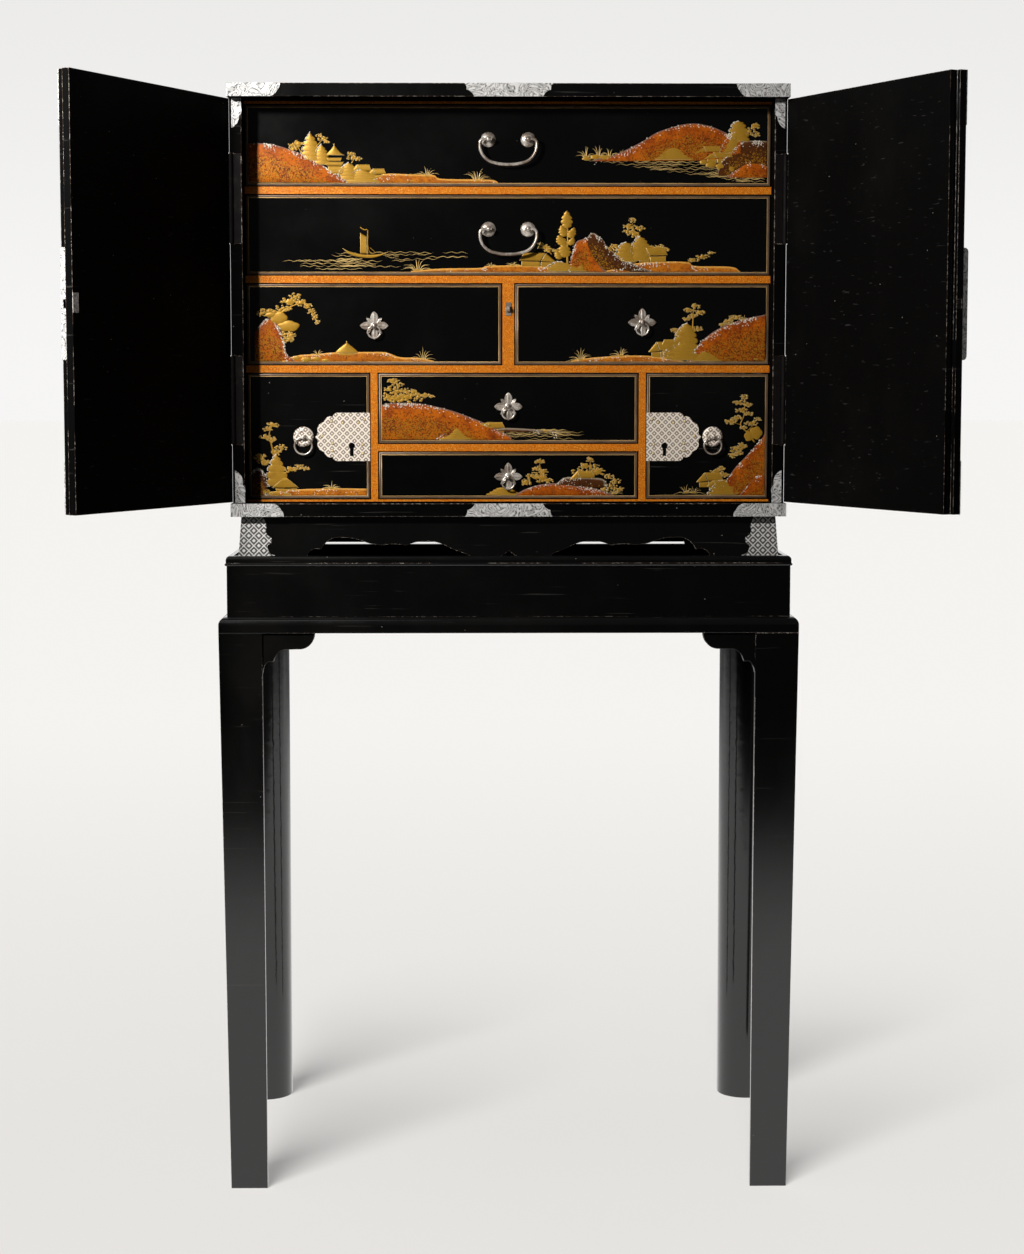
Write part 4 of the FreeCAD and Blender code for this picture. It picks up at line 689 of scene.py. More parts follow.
# %% Surfaces round a centre
def domes(self, centre, reach, lobes=0, notch=0.0, turn=0.0, height=0.6, spokes=12, lift=0.0):
    """Domes round centres (forms, 2) with half sizes (forms, 2). The outline's radius is
    1 - notch * (1 - |cos(lobes / 2 * (angle - turn))|), a cloud edge with that many lobes.
    A point a share r of the way out rises by height * sqrt(1 - r * r), and lift is the height
    of the ground that the dome stands on."""
    centre = np.asarray(centre, float).reshape(-1, 1, 1, 2)
    reach = np.asarray(reach, float).reshape(-1, 1, 1, 2)
    turn = np.asarray(turn, float).reshape(-1, 1, 1)
    forms = len(centre)
    angle = np.arange(spokes)[None, None, :] * 2 * np.pi / spokes
    r = np.sin(np.linspace(1, 0, 4) * np.pi / 2)[None, :, None]
    edge = 1 - notch * (1 - np.abs(np.cos(lobes / 2 * (angle - turn))))
    flat = centre + reach * np.stack([r * edge * np.cos(angle), r * edge * np.sin(angle)], -1)
    small = reach.min(-1)
    rise = np.sqrt(1 - r**2) * (np.minimum(height, small * 0.6) + lift + SUNK) - SUNK
    points = np.concatenate([flat, np.broadcast_to(rise, flat.shape[:3])[..., None]], -1)
    rim = np.broadcast_to((1 - r) * small, flat.shape[:3])
    drop = np.broadcast_to((1 - np.sin(angle) * r) * small, flat.shape[:3])
    number = np.arange(rim.size).reshape(forms, 4, spokes)
    after = np.roll(number, -1, axis=2)
    quads = np.stack([number[:, :-1], after[:, :-1], after[:, 1:], number[:, 1:]], -1)
    self.keep(points, rim, drop, quads, number[:, 0, ::-1])


Relief.domes = domes
print("surfaces round a centre ready")

# %% One mesh of many forms
SAME_POINT, NO_LENGTH = 2e-7, 1e-8


def make(self, name, front, material, press=None):
    """Sets the forms on a front and closes their points and seams. Where press is given, it
    works out from the points which share of its rise each of them keeps."""
    if not self.count:
        return
    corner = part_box(front)[0]
    local = np.concatenate(self.points)
    if press:
        local[:, 2] *= np.where(local[:, 2] > 0, press(local), 1.0)
    local *= MM
    place = np.stack([corner.x + local[:, 0], corner.y - local[:, 2], corner.z + local[:, 1]], 1)
    mesh = bpy.data.meshes.new(name)
    mesh.from_pydata(place.tolist(), [], self.faces)
    marks = np.concatenate(self.marks).astype(np.float32)
    for name_of_mark, values in zip(("rim", "drop"), marks.T):
        layer = mesh.attributes.new(name_of_mark, "FLOAT", "POINT")
        layer.data.foreach_set("value", np.ascontiguousarray(values))
    work = bmesh.new()
    work.from_mesh(mesh)
    bmesh.ops.remove_doubles(work, verts=work.verts, dist=SAME_POINT)
    bmesh.ops.dissolve_degenerate(work, edges=work.edges, dist=NO_LENGTH)
    bmesh.ops.recalc_face_normals(work, faces=work.faces)
    for face in work.faces:
        face.smooth = len(face.verts) < 5
    work.to_mesh(mesh)
    work.free()
    mesh.materials.append(material)
    piece = bpy.data.objects.new(name, mesh)
    scene.collection.objects.link(piece)
    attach(piece, front)
    print(f"{name}: {len(mesh.polygons)} faces")


Relief.make = make
print("points nearer than", SAME_POINT, "m become one")

# %% [markdown]
# ## Borders
# Round each front runs a soft bronze band, then black, then a thin gold line. They were drawn
# with a brush and a rule in sprinkled metal, and stand a hair out of the lacquer. A line is one
# ring of four mitred bars, so it is four corners times a small section.

# %% Border lines
FRONTS = {"upper": "upper_drawer", "middle": "middle_drawer",
          "third_left": "third_drawer_left", "third_right": "third_drawer_right",
          "centre_upper": "centre_drawer_upper", "centre_lower": "centre_drawer_lower",
          "side_left": "inner_door_left", "side_right": "inner_door_right"}
BAND_WIDTH, BAND_INSET = 2.5, 0.9
LINE_WIDTH, LINE_INSET = 0.85, 3.5
BORDER = LINE_INSET + LINE_WIDTH
CLEAR_OF_BORDER = BORDER + 0.5


def border(name, front, inset, width, proud, material):
    """A ring round the front: each of its corners, moved in by inset, carries the same section,
    and the section's points are joined round both ways."""
    low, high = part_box(front)
    size = (high.x - low.x) / MM, (high.z - low.z) / MM
    section = np.array([(inset, -SUNK), (inset + 0.1, proud), (inset + width / 2, proud * 1.25),
                        (inset + width - 0.1, proud), (inset + width, -SUNK)])
    corner = np.array([(0, 0), (1, 0), (1, 1), (0, 1)])
    inward = 1 - 2 * corner
    flat = corner[:, None] * size + inward[:, None] * section[None, :, :1]
    rise = np.broadcast_to(section[None, :, 1:], flat.shape[:2] + (1,))
    points = np.concatenate([flat, rise], -1)
    number = np.arange(20).reshape(4, 5)
    quads = np.stack([number, np.roll(number, -1, 0), np.roll(number, (-1, -1), (0, 1)),
                      np.roll(number, -1, 1)], -1)
    ring = Relief()
    even = np.ones(20)
    ring.keep(points, even, even, quads, np.zeros((0, 4), int))
    ring.make(name, front, material)


for place, front in FRONTS.items():
    border(place + "_bronze_band", front, BAND_INSET, BAND_WIDTH, 0.12, BRONZE)
    border(place + "_gold_line", front, LINE_INSET, LINE_WIDTH, 0.14, PALE_LINE)

# %% [markdown]
# ## Petals of the flower pulls
# The four small pulls are flowers of four large and four small petals, cast with raised edges
# and a rib. The model's petals are flat plates, so a hollow relief lies on each.

# %% Petal reliefs
LARGE_PETAL, SMALL_PETAL = (17.6, 11.5, 0.0, 1.8), (13.6, 6.0, np.pi / 4, 1.2)


def petals(length, wide, turn, lift):
    """Four petals round a middle, as pairs of edge lines, and the height of the plate that they
    lie on. A petal's half width is that of a lens of this length and width:
    sqrt(r * r - (u - m) ** 2) - d, with u the way along it."""
    radius = length**2 / (4 * wide) + wide / 4
    m, half_chord = (1 + length) / 2, (length - 1) / 2
    u = m - half_chord * 0.985 * np.cos(np.linspace(0.45, np.pi, 17))
    half_wide = np.sqrt(radius**2 - (u - m)**2) - math.sqrt(radius**2 - half_chord**2)
    angle = turn + np.arange(4)[:, None] * np.pi / 2
    along = np.stack([np.cos(angle), np.sin(angle)], -1)
    aside = np.stack([-np.sin(angle), np.cos(angle)], -1)
    middle, reach = u[None, :, None] * along, half_wide[None, :, None] * aside
    return middle + reach, middle - reach, lift


for place in SMALL_PULLS:
    front = FRONTS[place]
    low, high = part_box(place + "_flower")
    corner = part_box(front)[0]
    centre = np.array([(low.x + high.x) / 2 - corner.x, (low.z + high.z) / 2 - corner.z]) / MM
    relief = Relief()
    for first, second, lift in (petals(*LARGE_PETAL), petals(*SMALL_PETAL)):
        relief.between(centre + first, centre + second, 0.9, 9.0, 21, ribs=2, lift=lift)
    relief.make(place + "_petals", front, PULL_METAL)

# %% [markdown]
# ## Forms that the pictures share
# A lacquer workshop drew the same few things again and again: rounded hills with lichen along
# the crest, stones, thatched huts, leaning pines with flat pads of needles, tufts of reeds and
# ruled ripples. Each is a short function that adds its arrays to the finish it belongs to. In
# the cells that draw, p is the picture at hand.


# %% Ground, stones and lichen
LICHEN_FALL = 3.15


class Picture:
    """The finishes on one front, and the forms that are drawn in them."""

    def __init__(self, place):
        self.place = place
        self.front = FRONTS[place]
        self.gold, self.rust, self.brown, self.shore, self.flecks = (Relief() for _ in range(5))

    def hill(self, ground, crest, lichen, foot=BORDER, height=0.7):
        """Ground between a crest line and a level foot, with so many dots of lichen below the
        crest."""
        line = through(crest, 64)
        base = np.stack([line[:, 0], np.full(64, foot)], 1)
        ground.between(line, base, height, 5.0, 10)
        self.lichen(line, lichen, height)

    def lichen(self, line, count, ground):
        """Silver dots in loose groups: each picks a place along the line and drops below it."""
        groups = rng.uniform(0.04, 0.96, max(count // 7, 1))
        along = np.clip(rng.choice(groups, count) + rng.normal(0, 0.032, count), 0, 1)
        at = line[(along * (len(line) - 1)).astype(int)]
        fall = 1.0 + np.abs(rng.normal(0, LICHEN_FALL, count))
        centre = np.stack([at[:, 0] + rng.normal(0, 0.8, count), at[:, 1] - fall], 1)
        centre = centre[centre[:, 1] > CLEAR_OF_BORDER]
        reach = rng.uniform(0.5, 1.1, (len(centre), 1)) * np.ones((1, 2))
        self.flecks.domes(centre, reach, height=0.3, spokes=7, lift=ground)

    def stone(self, left, right, height=0.9, beaded=True):
        """A standing stone between two side lines that meet at its tip. Its outline swells in
        six lobes a side, two silver lines run up its face and its left edge may be beaded."""
        s = np.linspace(0, 1, 61)
        swell = np.sqrt(np.abs(np.sin(6 * np.pi * s))) * np.minimum(1, 5 * (1 - s)) - 0.5
        sides = [through(side, 61) for side in (left, right)]
        reach = 0.09 * (sides[1][:, 0] - sides[0][:, 0]) + 2.0 * (1 - s)**0.3
        sides[0][:, 0] -= swell * reach
        sides[1][:, 0] += swell * reach
        self.gold.between(sides[0], sides[1], height, 3.0, 7)
        for share in (0.32, 0.62):
            line = (sides[0] * (1 - share) + sides[1] * share)[4:44:4]
            line[:, 0] += np.sin(s[4:44:4] * 14 + share * 9) * 0.8
            self.flecks.stroke(line, np.full(len(line), 0.3), height + 0.14, 3)
        if beaded:
            line = sides[0][::2]
            self.flecks.domes(line, np.full((len(line), 2), 0.85), height=0.35, spokes=7, lift=0.5)

    def boulders(self, places):
        """Low rounded stones, each given as its middle and half sizes."""
        stones = np.asarray(places, float)
        turn = np.linspace(0, 3, len(stones))
        self.gold.domes(stones[:, :2], stones[:, 2:], 5, 0.16, turn, 0.9, 30)


print("ground and stones ready")


# %% Reeds
def blades(root, tip, bow, wide):
    """Blades from roots to tips, arrays (n, 2). Each runs on a bent line: the straight one plus
    bow * s ** 3 across it, and narrows as 1 - s ** 2."""
    s = np.linspace(0, 1, 9)[None, :, None]
    straight = root[:, None] * (1 - s) + tip[:, None] * s
    sideways = np.stack([np.asarray(bow), -0.75 * np.abs(bow)], 1)[:, None]
    return straight + sideways * s**3, np.broadcast_to(wide * (1 - s[..., 0]**2), (len(root), 9))


def reeds(self, middle, foot, width, height, count, wide=0.5):
    """A tuft: count blades fan out from one foot, the outer ones lower and more bowed."""
    share = np.linspace(-1, 1, count) + rng.normal(0, 0.10, count)
    root = np.stack([middle + share * width * 0.12, np.full(count, foot)], 1)
    tall = height * (1 - 0.55 * share**2) * rng.uniform(0.6, 1.0, count)
    tip = np.stack([middle + share * width * 0.30, foot + tall], 1)
    self.gold.stroke(*blades(root, tip, share * width * 0.38, wide), rim=0.3)
    self.gold.domes(np.stack([root[:, 0] * 0.5 + middle * 0.5, root[:, 1] + 0.8], 1),
                    np.full((count, 2), 1.3), 4, 0.2, spokes=10)


Picture.reeds = reeds
print("reeds ready")


# %% Trees
def pads(self, places, lobes=5, notch=0.42):
    """Leaf pads, each given as its middle and half sizes. Each is a cloud of notched tufts: a
    large one in the middle and small ones set round it at uneven angles and distances."""
    pad = np.asarray(places, float)
    number, tufts = len(pad), 14
    angle = np.arange(tufts) * 2 * np.pi / tufts + rng.normal(0, 0.25, (number, tufts))
    away = rng.uniform(0.50, 1.08, (number, tufts))
    around = np.stack([away * np.cos(angle), away * np.sin(angle)], -1)
    around = np.concatenate([np.zeros((number, 1, 2)), around], 1)
    centre = pad[:, None, :2] + around * pad[:, None, 2:]
    even = np.sqrt(pad[:, 2] * pad[:, 3])[:, None, None]
    size = rng.uniform(0.20, 0.36, (number, tufts + 1, 1)) * even * np.array([1.25, 0.85])
    size[:, 0] *= 2.3
    self.gold.domes(centre, size, lobes, notch, rng.uniform(0, 6, centre.shape[:2]), 0.6, 20)


def leaf_masses(self, places):
    """Pointed leaf masses, each given as its middle, half sizes and lean. At a share s of the
    height the half width is wide * sin(pi * s ** 0.72) ** 0.75, swollen by four scallops a side,
    and the middle leans over by lean * s ** 2."""
    x, z, wide, tall, lean = np.asarray(places, float).T[:, :, None]
    s = np.linspace(0, 1, 49)
    scallops = 1 + 0.42 * (np.sqrt(np.abs(np.sin(4 * np.pi * s))) - 0.6)
    half = wide * np.sin(np.pi * s**0.72)**0.75 * scallops + 0.12
    middle, height = x + lean * s**2, z + tall * (2 * s - 1)
    self.gold.between(np.stack([middle - half, height], -1), np.stack([middle + half, height], -1),
                      1.0, 3.0, 8)


def tree(self, trunk, leaves, wide, branches=()):
    """A trunk stroke that narrows upwards, branches off it, and pads of leaves."""
    s = np.linspace(1, 0.45, 24)
    self.gold.stroke(through(trunk, 24), wide * s, 0.7)
    for branch in branches:
        self.gold.stroke(through(branch, 12), wide * 0.5 * np.linspace(1, 0.4, 12), 0.6)
    self.pads(leaves)


Picture.pads, Picture.leaf_masses, Picture.tree = pads, leaf_masses, tree
print("trees ready")


# %% Houses
def quad(self, top, foot, height=0.8):
    """A flat raised panel between two straight lines, each given by its two ends."""
    s = np.array([0, 0.03, 0.1, 0.3, 0.5, 0.7, 0.9, 0.97, 1])[:, None]
    upper, lower = (np.array([start]) * (1 - s) + np.array([end]) * s for start, end in (top, foot))
    self.gold.between(upper, lower, height, 9.0, 6)


def hut(self, left, foot, wide, tall, flip=1):
    """A thatched hut seen from a corner: a gable, the long slope of its roof and a low wall.
    flip is 1 with the gable on the left and -1 with it on the right."""
    start = left if flip > 0 else left + wide

    def at(across, up):
        return start + flip * wide * across, foot + tall * up

    self.quad([at(0.30, 1.0), at(0.88, 1.0)], [at(0.44, 0.42), at(1.0, 0.45)])
    self.quad([at(0.0, 0.36), at(0.28, 0.98)], [at(0.1, 0.36), at(0.42, 0.40)], 0.7)
    self.quad([at(0.12, 0.34), at(0.42, 0.38)], [at(0.12, 0.0), at(0.42, 0.0)], 0.4)
    self.quad([at(0.45, 0.40), at(0.94, 0.42)], [at(0.45, 0.0), at(0.94, 0.02)], 0.45)


def spire_roof(self, middle, foot, half, tall, height=0.9, sweep=0.62):
    """A roof up to a knob: its half width falls off as 1 less the height share to the power
    sweep, which is hollow below a power of 1 and domed above it."""
    s = np.linspace(0, 1, 16)
    reach = half * (1 - s**sweep) + 0.35
    up = foot + tall * 0.86 * s
    self.gold.between(np.stack([middle - reach, up], 1), np.stack([middle + reach, up], 1),
                      height, 3.0, 7)
    self.gold.domes([(middle, foot + tall * 0.93)], [(1.0, tall * 0.09)])


Picture.quad, Picture.hut, Picture.spire_roof = quad, hut, spire_roof
print("houses ready")

# %% Water
ROW_APART, STROKES_IN_ROW, MOST_STROKES, HALF_STROKE = 3.0, 7, 0.62, 0.50


def water(self, start, level, wide, deep, slant, share):
    """Ripples: broken level strokes in rows, each a sine of its own phase. A row starts further
    along by slant for each millimetre that it lies lower. share says how many strokes are drawn:
    at 1 it is the most that any water here has."""
    rows = round(deep / ROW_APART) + 1
    row = np.repeat(np.arange(rows), STROKES_IN_ROW)
    down = row / (rows - 1) * deep
    first = start + down * slant
    room = np.maximum(start + wide - first, 5.0)
    middle = first + room * rng.uniform(0.0, 1.0, len(row))
    reach = np.minimum(rng.uniform(8, 26, len(row)), room * 0.3)
    near = np.clip(middle, first + reach, start + wide - reach)
    keep = rng.uniform(0, 1, len(row)) < share * MOST_STROKES
    s = np.linspace(-1, 1, 25)[None]
    across = near[keep, None] + reach[keep, None] * s
    wave = 0.85 * np.sin(across * 0.48 + rng.uniform(0, 6, keep.sum())[:, None])
    up = level - down[keep, None] + wave + rng.normal(0, 0.25, keep.sum())[:, None]
    body = HALF_STROKE * np.sqrt(np.maximum(1 - s**2, 0)) * np.ones_like(across)
    self.gold.stroke(np.stack([across, np.maximum(up, CLEAR_OF_BORDER)], -1), body, 0.25, 3, 0.3)


Picture.water = water
print("water ready, its rows", ROW_APART, "mm apart")

# %% [markdown]
# An inner door opens to a right angle, and its front then lies along the case's side, with
# little room for a relief. So the pictures on the two doors are pressed flatter, and nearly flat
# where the lobe of a corner mount touches the open door.

# %% Finish a picture
DOOR_ROOM = (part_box("case_side_right")[0].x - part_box("inner_door_right")[1].x) / MM
LOBE_ACROSS, LOBE_LOW, LOBE_HIGH = 48.5, 8.0, 16.0   # from the pivots, and above the door's foot
LEFT_FREE, FLAT_FOR, SLOPE_LENGTH, NEARLY_FLAT = 0.1, 4, 5, 0.04


def door_press(front, mirrored, tallest):
    """The share of its rise that each point on an inner door's front keeps: enough to clear the
    case's side, and next to nothing where the corner mount's lobe touches."""
    low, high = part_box(front)
    centre = (high.x - low.x) / MM - LOBE_ACROSS if mirrored else LOBE_ACROSS
    share = min(1.0, (DOOR_ROOM - LEFT_FREE) / tallest)

    def press(points):
        past = np.maximum(np.maximum(LOBE_LOW - points[:, 1], points[:, 1] - LOBE_HIGH), 0)
        away = np.hypot(points[:, 0] - centre, past)
        return share * np.clip((away - FLAT_FOR) / SLOPE_LENGTH, NEARLY_FLAT, 1)

    return press


def finish_picture(self):
    """Makes one piece of each finish that the picture uses."""
    layers = (("gold", self.gold, GOLD), ("rust", self.rust, RUST), ("brown", self.brown, BROWN),
              ("shore", self.shore, SHORE), ("flecks", self.flecks, FLECKS))
    tallest = max(points[:, 2].max() for _, relief, _ in layers for points in relief.points)
    on_door = self.place.startswith("side")
    press = door_press(self.front, self.place == "side_right", tallest) if on_door else None
    for word, relief, material in layers:
        relief.make(f"{self.place}_{word}", self.front, material, press)


Picture.finish = finish_picture
print("an open inner door's room is", round(DOOR_ROOM, 2), "mm")

# %% [markdown]
# ## The upper drawer
# At the left a long hill falls to a shore with a pagoda among stones, and reeds grow on the
# strand. At the right a round hill stands behind ripples, with stones, huts and a tree in front
# of a darker hill that runs into the border.

# %% Upper drawer's picture
p = Picture("upper")
p.hill(p.rust, [(4.4, 53.5), (22, 53), (38, 51), (68, 41), (91, 29), (112, 16), (128, BORDER)],
       lichen=150)
p.stone([(71, 33), (71.5, 43), (75, 56), (80, 66)], [(93, 30), (91, 42), (87, 56), (80, 66)])
p.stone([(86.5, 27), (86, 36), (90, 46), (94, 51.5)], [(104, 26), (103, 36), (99, 45), (94, 51.5)])
p.tree([(70, 40), (66, 47), (62, 52)], [(60, 46, 6, 3), (66, 52, 7, 3.4), (58, 50, 5, 2.4)], 1.0)
p.tree([(88, 48), (93, 54), (97, 57)], [(97, 58, 6, 3.2), (92, 62, 4, 2.2), (101, 54, 3.4, 2)], 0.9)
p.spire_roof(110, 38, 13.5, 14)
p.quad([(101, 35), (119.5, 35)], [(103, 30.5), (117.5, 30.5)])
p.quad([(97.5, 30), (122, 30)], [(101, 25), (119, 25)])
p.quad([(102, 25), (121, 25)], [(104, 14), (127, 14)], 0.7)
p.stone([(116, 8), (117, 17), (122, 25), (127, 29)], [(140, 8), (139, 17), (134, 25), (127, 29)])
p.tree([(131, 28), (134, 33), (133, 38)],
       [(133, 35, 7.5, 2.6), (131, 40, 5, 2.2), (139, 33.5, 5, 2.2)], 0.8)
p.hut(130, 12, 26, 15)
p.hut(150, 9, 24, 13)
p.stone([(122, 5), (128, 12), (137, 19), (143, 20)], [(170, 5), (165, 12), (155, 17), (143, 20)],
        1.0)
p.hill(p.shore,
       [(124, 6), (150, 8), (172, 15.5), (205, 15), (232, 14), (243, 9.5), (300, 8.5), (312, 5.5)],
       lichen=70, height=0.5)
p.reeds(206, 6, 30, 20, 9)
p.reeds(224, 12, 34, 17, 10)
p.reeds(286, 6, 42, 24, 13)
p.hill(p.rust,
       [(430, 33), (458, 40), (487, 54), (511, 68), (546, 77.5), (573, 74.5), (598, 64), (612, 58)],
       lichen=110, foot=31)
p.stone([(586, 40), (592, 54), (598, 62), (607, 69)], [(606, 42), (611, 52), (612, 62), (607, 69)])
p.stone([(600, 56), (598, 66), (602, 77), (608, 80)], [(621, 55), (620, 66), (615, 77), (608, 80)])
p.pads([(578, 55, 9, 4), (571, 50, 7, 3), (622, 68, 6, 4), (629, 74, 6, 3.4), (630, 64, 5, 3)])
p.hut(554, 35, 34, 16)
p.hut(566, 29, 36, 14)
p.hill(p.brown, [(584, 20), (590, 34), (602, 47), (613, 55.5), (628, 57), (643.8, 56.5)], lichen=90,
       foot=13)
p.hill(p.rust, [(596, 14), (607, 22), (618, 30), (630, 31), (643.8, 27)], lichen=30, foot=11,
       height=0.9)
p.stone([(500, 33), (506, 41), (518, 46.5), (529, 47)],
        [(555, 33), (549, 39), (540, 45), (529, 47)], beaded=False)
p.boulders([(432, 36, 7, 3.4), (444, 35, 9, 3.6), (421, 34, 6, 2.4), (575, 27, 8, 4),
            (587, 25, 7, 4.6), (600, 22, 6, 5), (566, 30, 6, 3), (612, 19, 9, 3)])
for middle, tall in ((420, 18), (436, 21), (449, 15), (462, 14), (608, 16), (630, 19)):
    p.reeds(middle, 36 if middle < 500 else 14, 26, tall, 7)
p.water(376, 35, 200, 3, 0.0, 0.9)
p.water(412, 33, 231, 26, 7.4, 1.0)
p.water(500, 30, 143, 22, 4.5, 0.9)
p.finish()

# %% [markdown]
# ## The middle drawer
# A small boat with one square sail lies on open water at the left. A tall tree, a steep hill and
# huts stand on a shore at the right.


# %% Boat
def boat(picture, left, right, water_line, mast):
    """A hull between a deck line and a keel line that meet at two raised tips, with a sail,
    a mast, a pennant and stays."""
    middle = (left + right) / 2
    deck = through([(left, water_line + 11.5), (left + 12, water_line + 6.5),
                    (middle, water_line + 3.5), (right - 11, water_line + 5),
                    (right, water_line + 9)], 30)
    keel = through([(left, water_line + 11.5), (left + 9, water_line + 4), (middle - 8, water_line),
                    (middle + 10, water_line), (right, water_line + 9)], 30)
    picture.gold.between(deck, keel, 0.9, 4.0, 6)
    picture.quad([(mast - 9, water_line + 31), (mast - 1.2, water_line + 26)],
                 [(mast - 9, water_line + 4), (mast - 1.2, water_line + 4)], 0.6)
    lines = [[(mast, water_line + 3), (mast + 0.3, water_line + 33.5)],
             [(mast - 9, water_line + 37), (mast - 4, water_line + 34), (mast, water_line + 34.5)],
             [(mast, water_line + 18), (mast + 2, water_line + 8), (mast + 6, water_line + 5)],
             [(mast + 3, water_line + 12), (mast + 10, water_line + 6)]]
    for line, wide in zip(lines, (0.7, 0.8, 0.45, 0.4)):
        picture.gold.stroke(through(line, 14), np.full(14, wide), 0.5)


print("boat ready")

# %% Middle drawer's picture
p = Picture("middle")
boat(p, 119, 181, 22, 150.5)
p.water(104, 27, 60, 3, 0.0, 0.6)
p.water(150, 28, 126, 8, 4.0, 0.8)
p.water(44, 18, 170, 10, 2.2, 0.95)
p.water(110, 20, 60, 8, 0.0, 0.8)
p.reeds(212, 6, 42, 22, 13)
p.hill(p.shore, [(204, 5.5), (240, 8.5), (290, 9.5), (300, 12), (352, 12.5), (384, 10)], lichen=50,
       height=0.5)
p.reeds(303, 11, 22, 7, 7)
p.reeds(330, 12, 26, 9, 8)
p.hut(338, 10, 46, 18, -1)
p.tree([(398, 8), (397.5, 30), (398, 52), (397, 68)], [(384, 30, 5, 3), (410, 28, 5, 3)], 1.6)
p.leaf_masses([(396.8, 68.5, 6.6, 11, 0), (393, 54.5, 5.4, 7, -3), (402, 52.5, 5.2, 6.6, 4),
               (391.5, 43, 6.6, 6.4, -5), (402, 42, 4.2, 5, 3), (394, 31, 7.6, 9, -1),
               (387, 25, 4.4, 5.4, -3)])
p.tree([(378, 26), (373, 32), (369, 36)], [(369, 35, 7, 3), (374, 31, 6, 3), (365, 39, 3.5, 2)],
       0.9)
p.hill(p.brown, [(418, 42), (428, 53), (440, 46), (447, 36), (463, 24), (486, 12), (503, 5.5)],
       lichen=120)
p.hill(p.rust, [(400, 8), (404, 30), (409, 42), (416, 45), (421, 47), (424, 40), (430, 24),
                (440, 10), (446, 6)], lichen=40, height=0.9)
p.pads([(430, 22, 9, 4), (436, 28, 7, 4), (424, 15, 8, 4), (438, 14, 7, 3.5)])
p.reeds(432, 14, 34, 14, 10)
p.stone([(458, 18), (459, 29), (464, 38), (470, 41)], [(484, 16), (482, 29), (477, 38), (470, 41)])
p.stone([(476, 18), (478, 36), (484, 46), (487, 48)], [(499, 18), (499, 34), (494, 44), (487, 48)])
p.tree([(484, 40), (481, 52), (478, 64)],
       [(478, 68, 4, 3), (474, 60, 8, 3), (485, 58, 9, 3.2), (481, 51, 8, 3.6), (472, 54, 6, 2.4)],
       1.0)
p.tree([(460, 26), (450, 32)], [(450, 33, 9, 3.2), (457, 36, 6, 3), (446, 28, 6, 2.6)], 0.8)
p.tree([(497, 36), (509, 33), (519, 33)], [(507, 34, 7, 3), (519, 32, 6, 2.6), (514, 36, 4, 2.4)],
       0.8)
p.hut(482, 16, 40, 19)
p.hill(p.shore, [(446, 6), (470, 13), (500, 17), (545, 17), (556, 12), (600, 11), (612, 5.5)],
       lichen=110, height=0.5)
p.tree([(543, 15), (558, 21), (582, 29)], [(553, 19, 7, 2.2), (565, 23, 8, 2.4), (576, 28, 5, 1.8)],
       0.7)
p.stone([(366, 5), (374, 11), (385, 17), (392, 16)], [(424, 5), (416, 9), (404, 13), (392, 16)],
        1.0)
p.boulders([(379, 8, 9, 3), (402, 8, 8, 3), (414, 10, 6, 4)])
p.finish()

# %% [markdown]
# ## The third row
# The left drawer has an old pine that leans out over a rock, and a round thatched roof on the
# strand. The right one has reeds, tall stones with a pine behind them, and a hill that rises
# into the border.

# %% Left drawer of the third row
p = Picture("third_left")
p.hill(p.rust, [(10, 40), (18, 52), (27, 58.5), (36, 53), (42, 43), (46, 28), (49, 15), (60, 5)],
       lichen=120, height=0.9)
p.boulders([(40, 58, 12, 9), (52, 48, 15, 7.5), (31, 62, 8, 4)])
p.tree([(38, 60), (48, 68), (60, 74), (74, 78)], [(54, 78, 11, 4.6), (61, 84, 8, 4), (46, 70, 9, 4),
                                                  (28, 66, 11, 3.6), (19, 63, 7, 3),
                                                  (68, 77, 7, 4)], 1.5,
       [[(66, 77), (76, 74), (84, 62), (88, 53)], [(44, 66), (32, 66), (20, 63)]])
p.pads([(76, 73, 5, 3.4), (81, 66, 4.4, 4), (85, 59, 4, 4), (88, 53, 3, 3)])
p.pads([(48, 38, 7, 4), (53, 32, 6, 3.6), (46, 30, 5, 3), (56, 37, 5, 3)], 9, 0.45)
p.spire_roof(124, 15, 15, 14.5, 1.2, 1.25)
p.quad([(113, 15), (135, 15)], [(116, 11), (132, 11)], 0.5)
p.hill(p.shore, [(44, 5.5), (62, 12), (90, 14), (110, 16), (165, 16.5), (176, 15), (190, 10),
                 (214, 9), (232, 5.5)], lichen=90, height=0.5)
p.boulders([(62, 9, 6, 3), (74, 7, 9, 4), (86, 8, 7, 3.6), (98, 6, 6, 2.4)])
p.reeds(88, 12, 26, 11, 8)
p.reeds(218, 6, 30, 22, 9)
p.finish()

# %% Right drawer of the third row
p = Picture("third_right")
p.reeds(82, 6, 34, 19, 12)
p.hill(p.shore, [(70, 5.5), (84, 8), (118, 11), (160, 12), (186, 9), (210, 5.5)], lichen=60,
       height=0.5)
p.reeds(132, 11, 34, 14, 11)
p.hut(166, 9, 34, 20)
p.hut(182, 14, 34, 18, -1)
p.tree([(219, 22), (221, 44), (222, 70)], [(224, 73, 6, 3), (216, 68, 6, 2.6), (230, 65, 7, 2.8),
                                           (221, 61, 6, 2.4), (214, 57, 5, 2.2)], 1.6,
       [[(221, 40), (229, 45)], [(217, 30), (200, 42)]])
p.pads([(199, 43, 6, 2.8), (203, 38, 5, 2.6), (207, 33, 5, 3), (228, 45, 7, 2.4)])
p.stone([(200, 20), (201, 36), (208, 48), (214, 52)], [(228, 18), (226, 34), (221, 46), (214, 52)],
        1.1)
p.stone([(186, 6), (189, 17), (200, 25), (212, 26)], [(236, 6), (233, 15), (224, 23), (212, 26)],
        1.2)
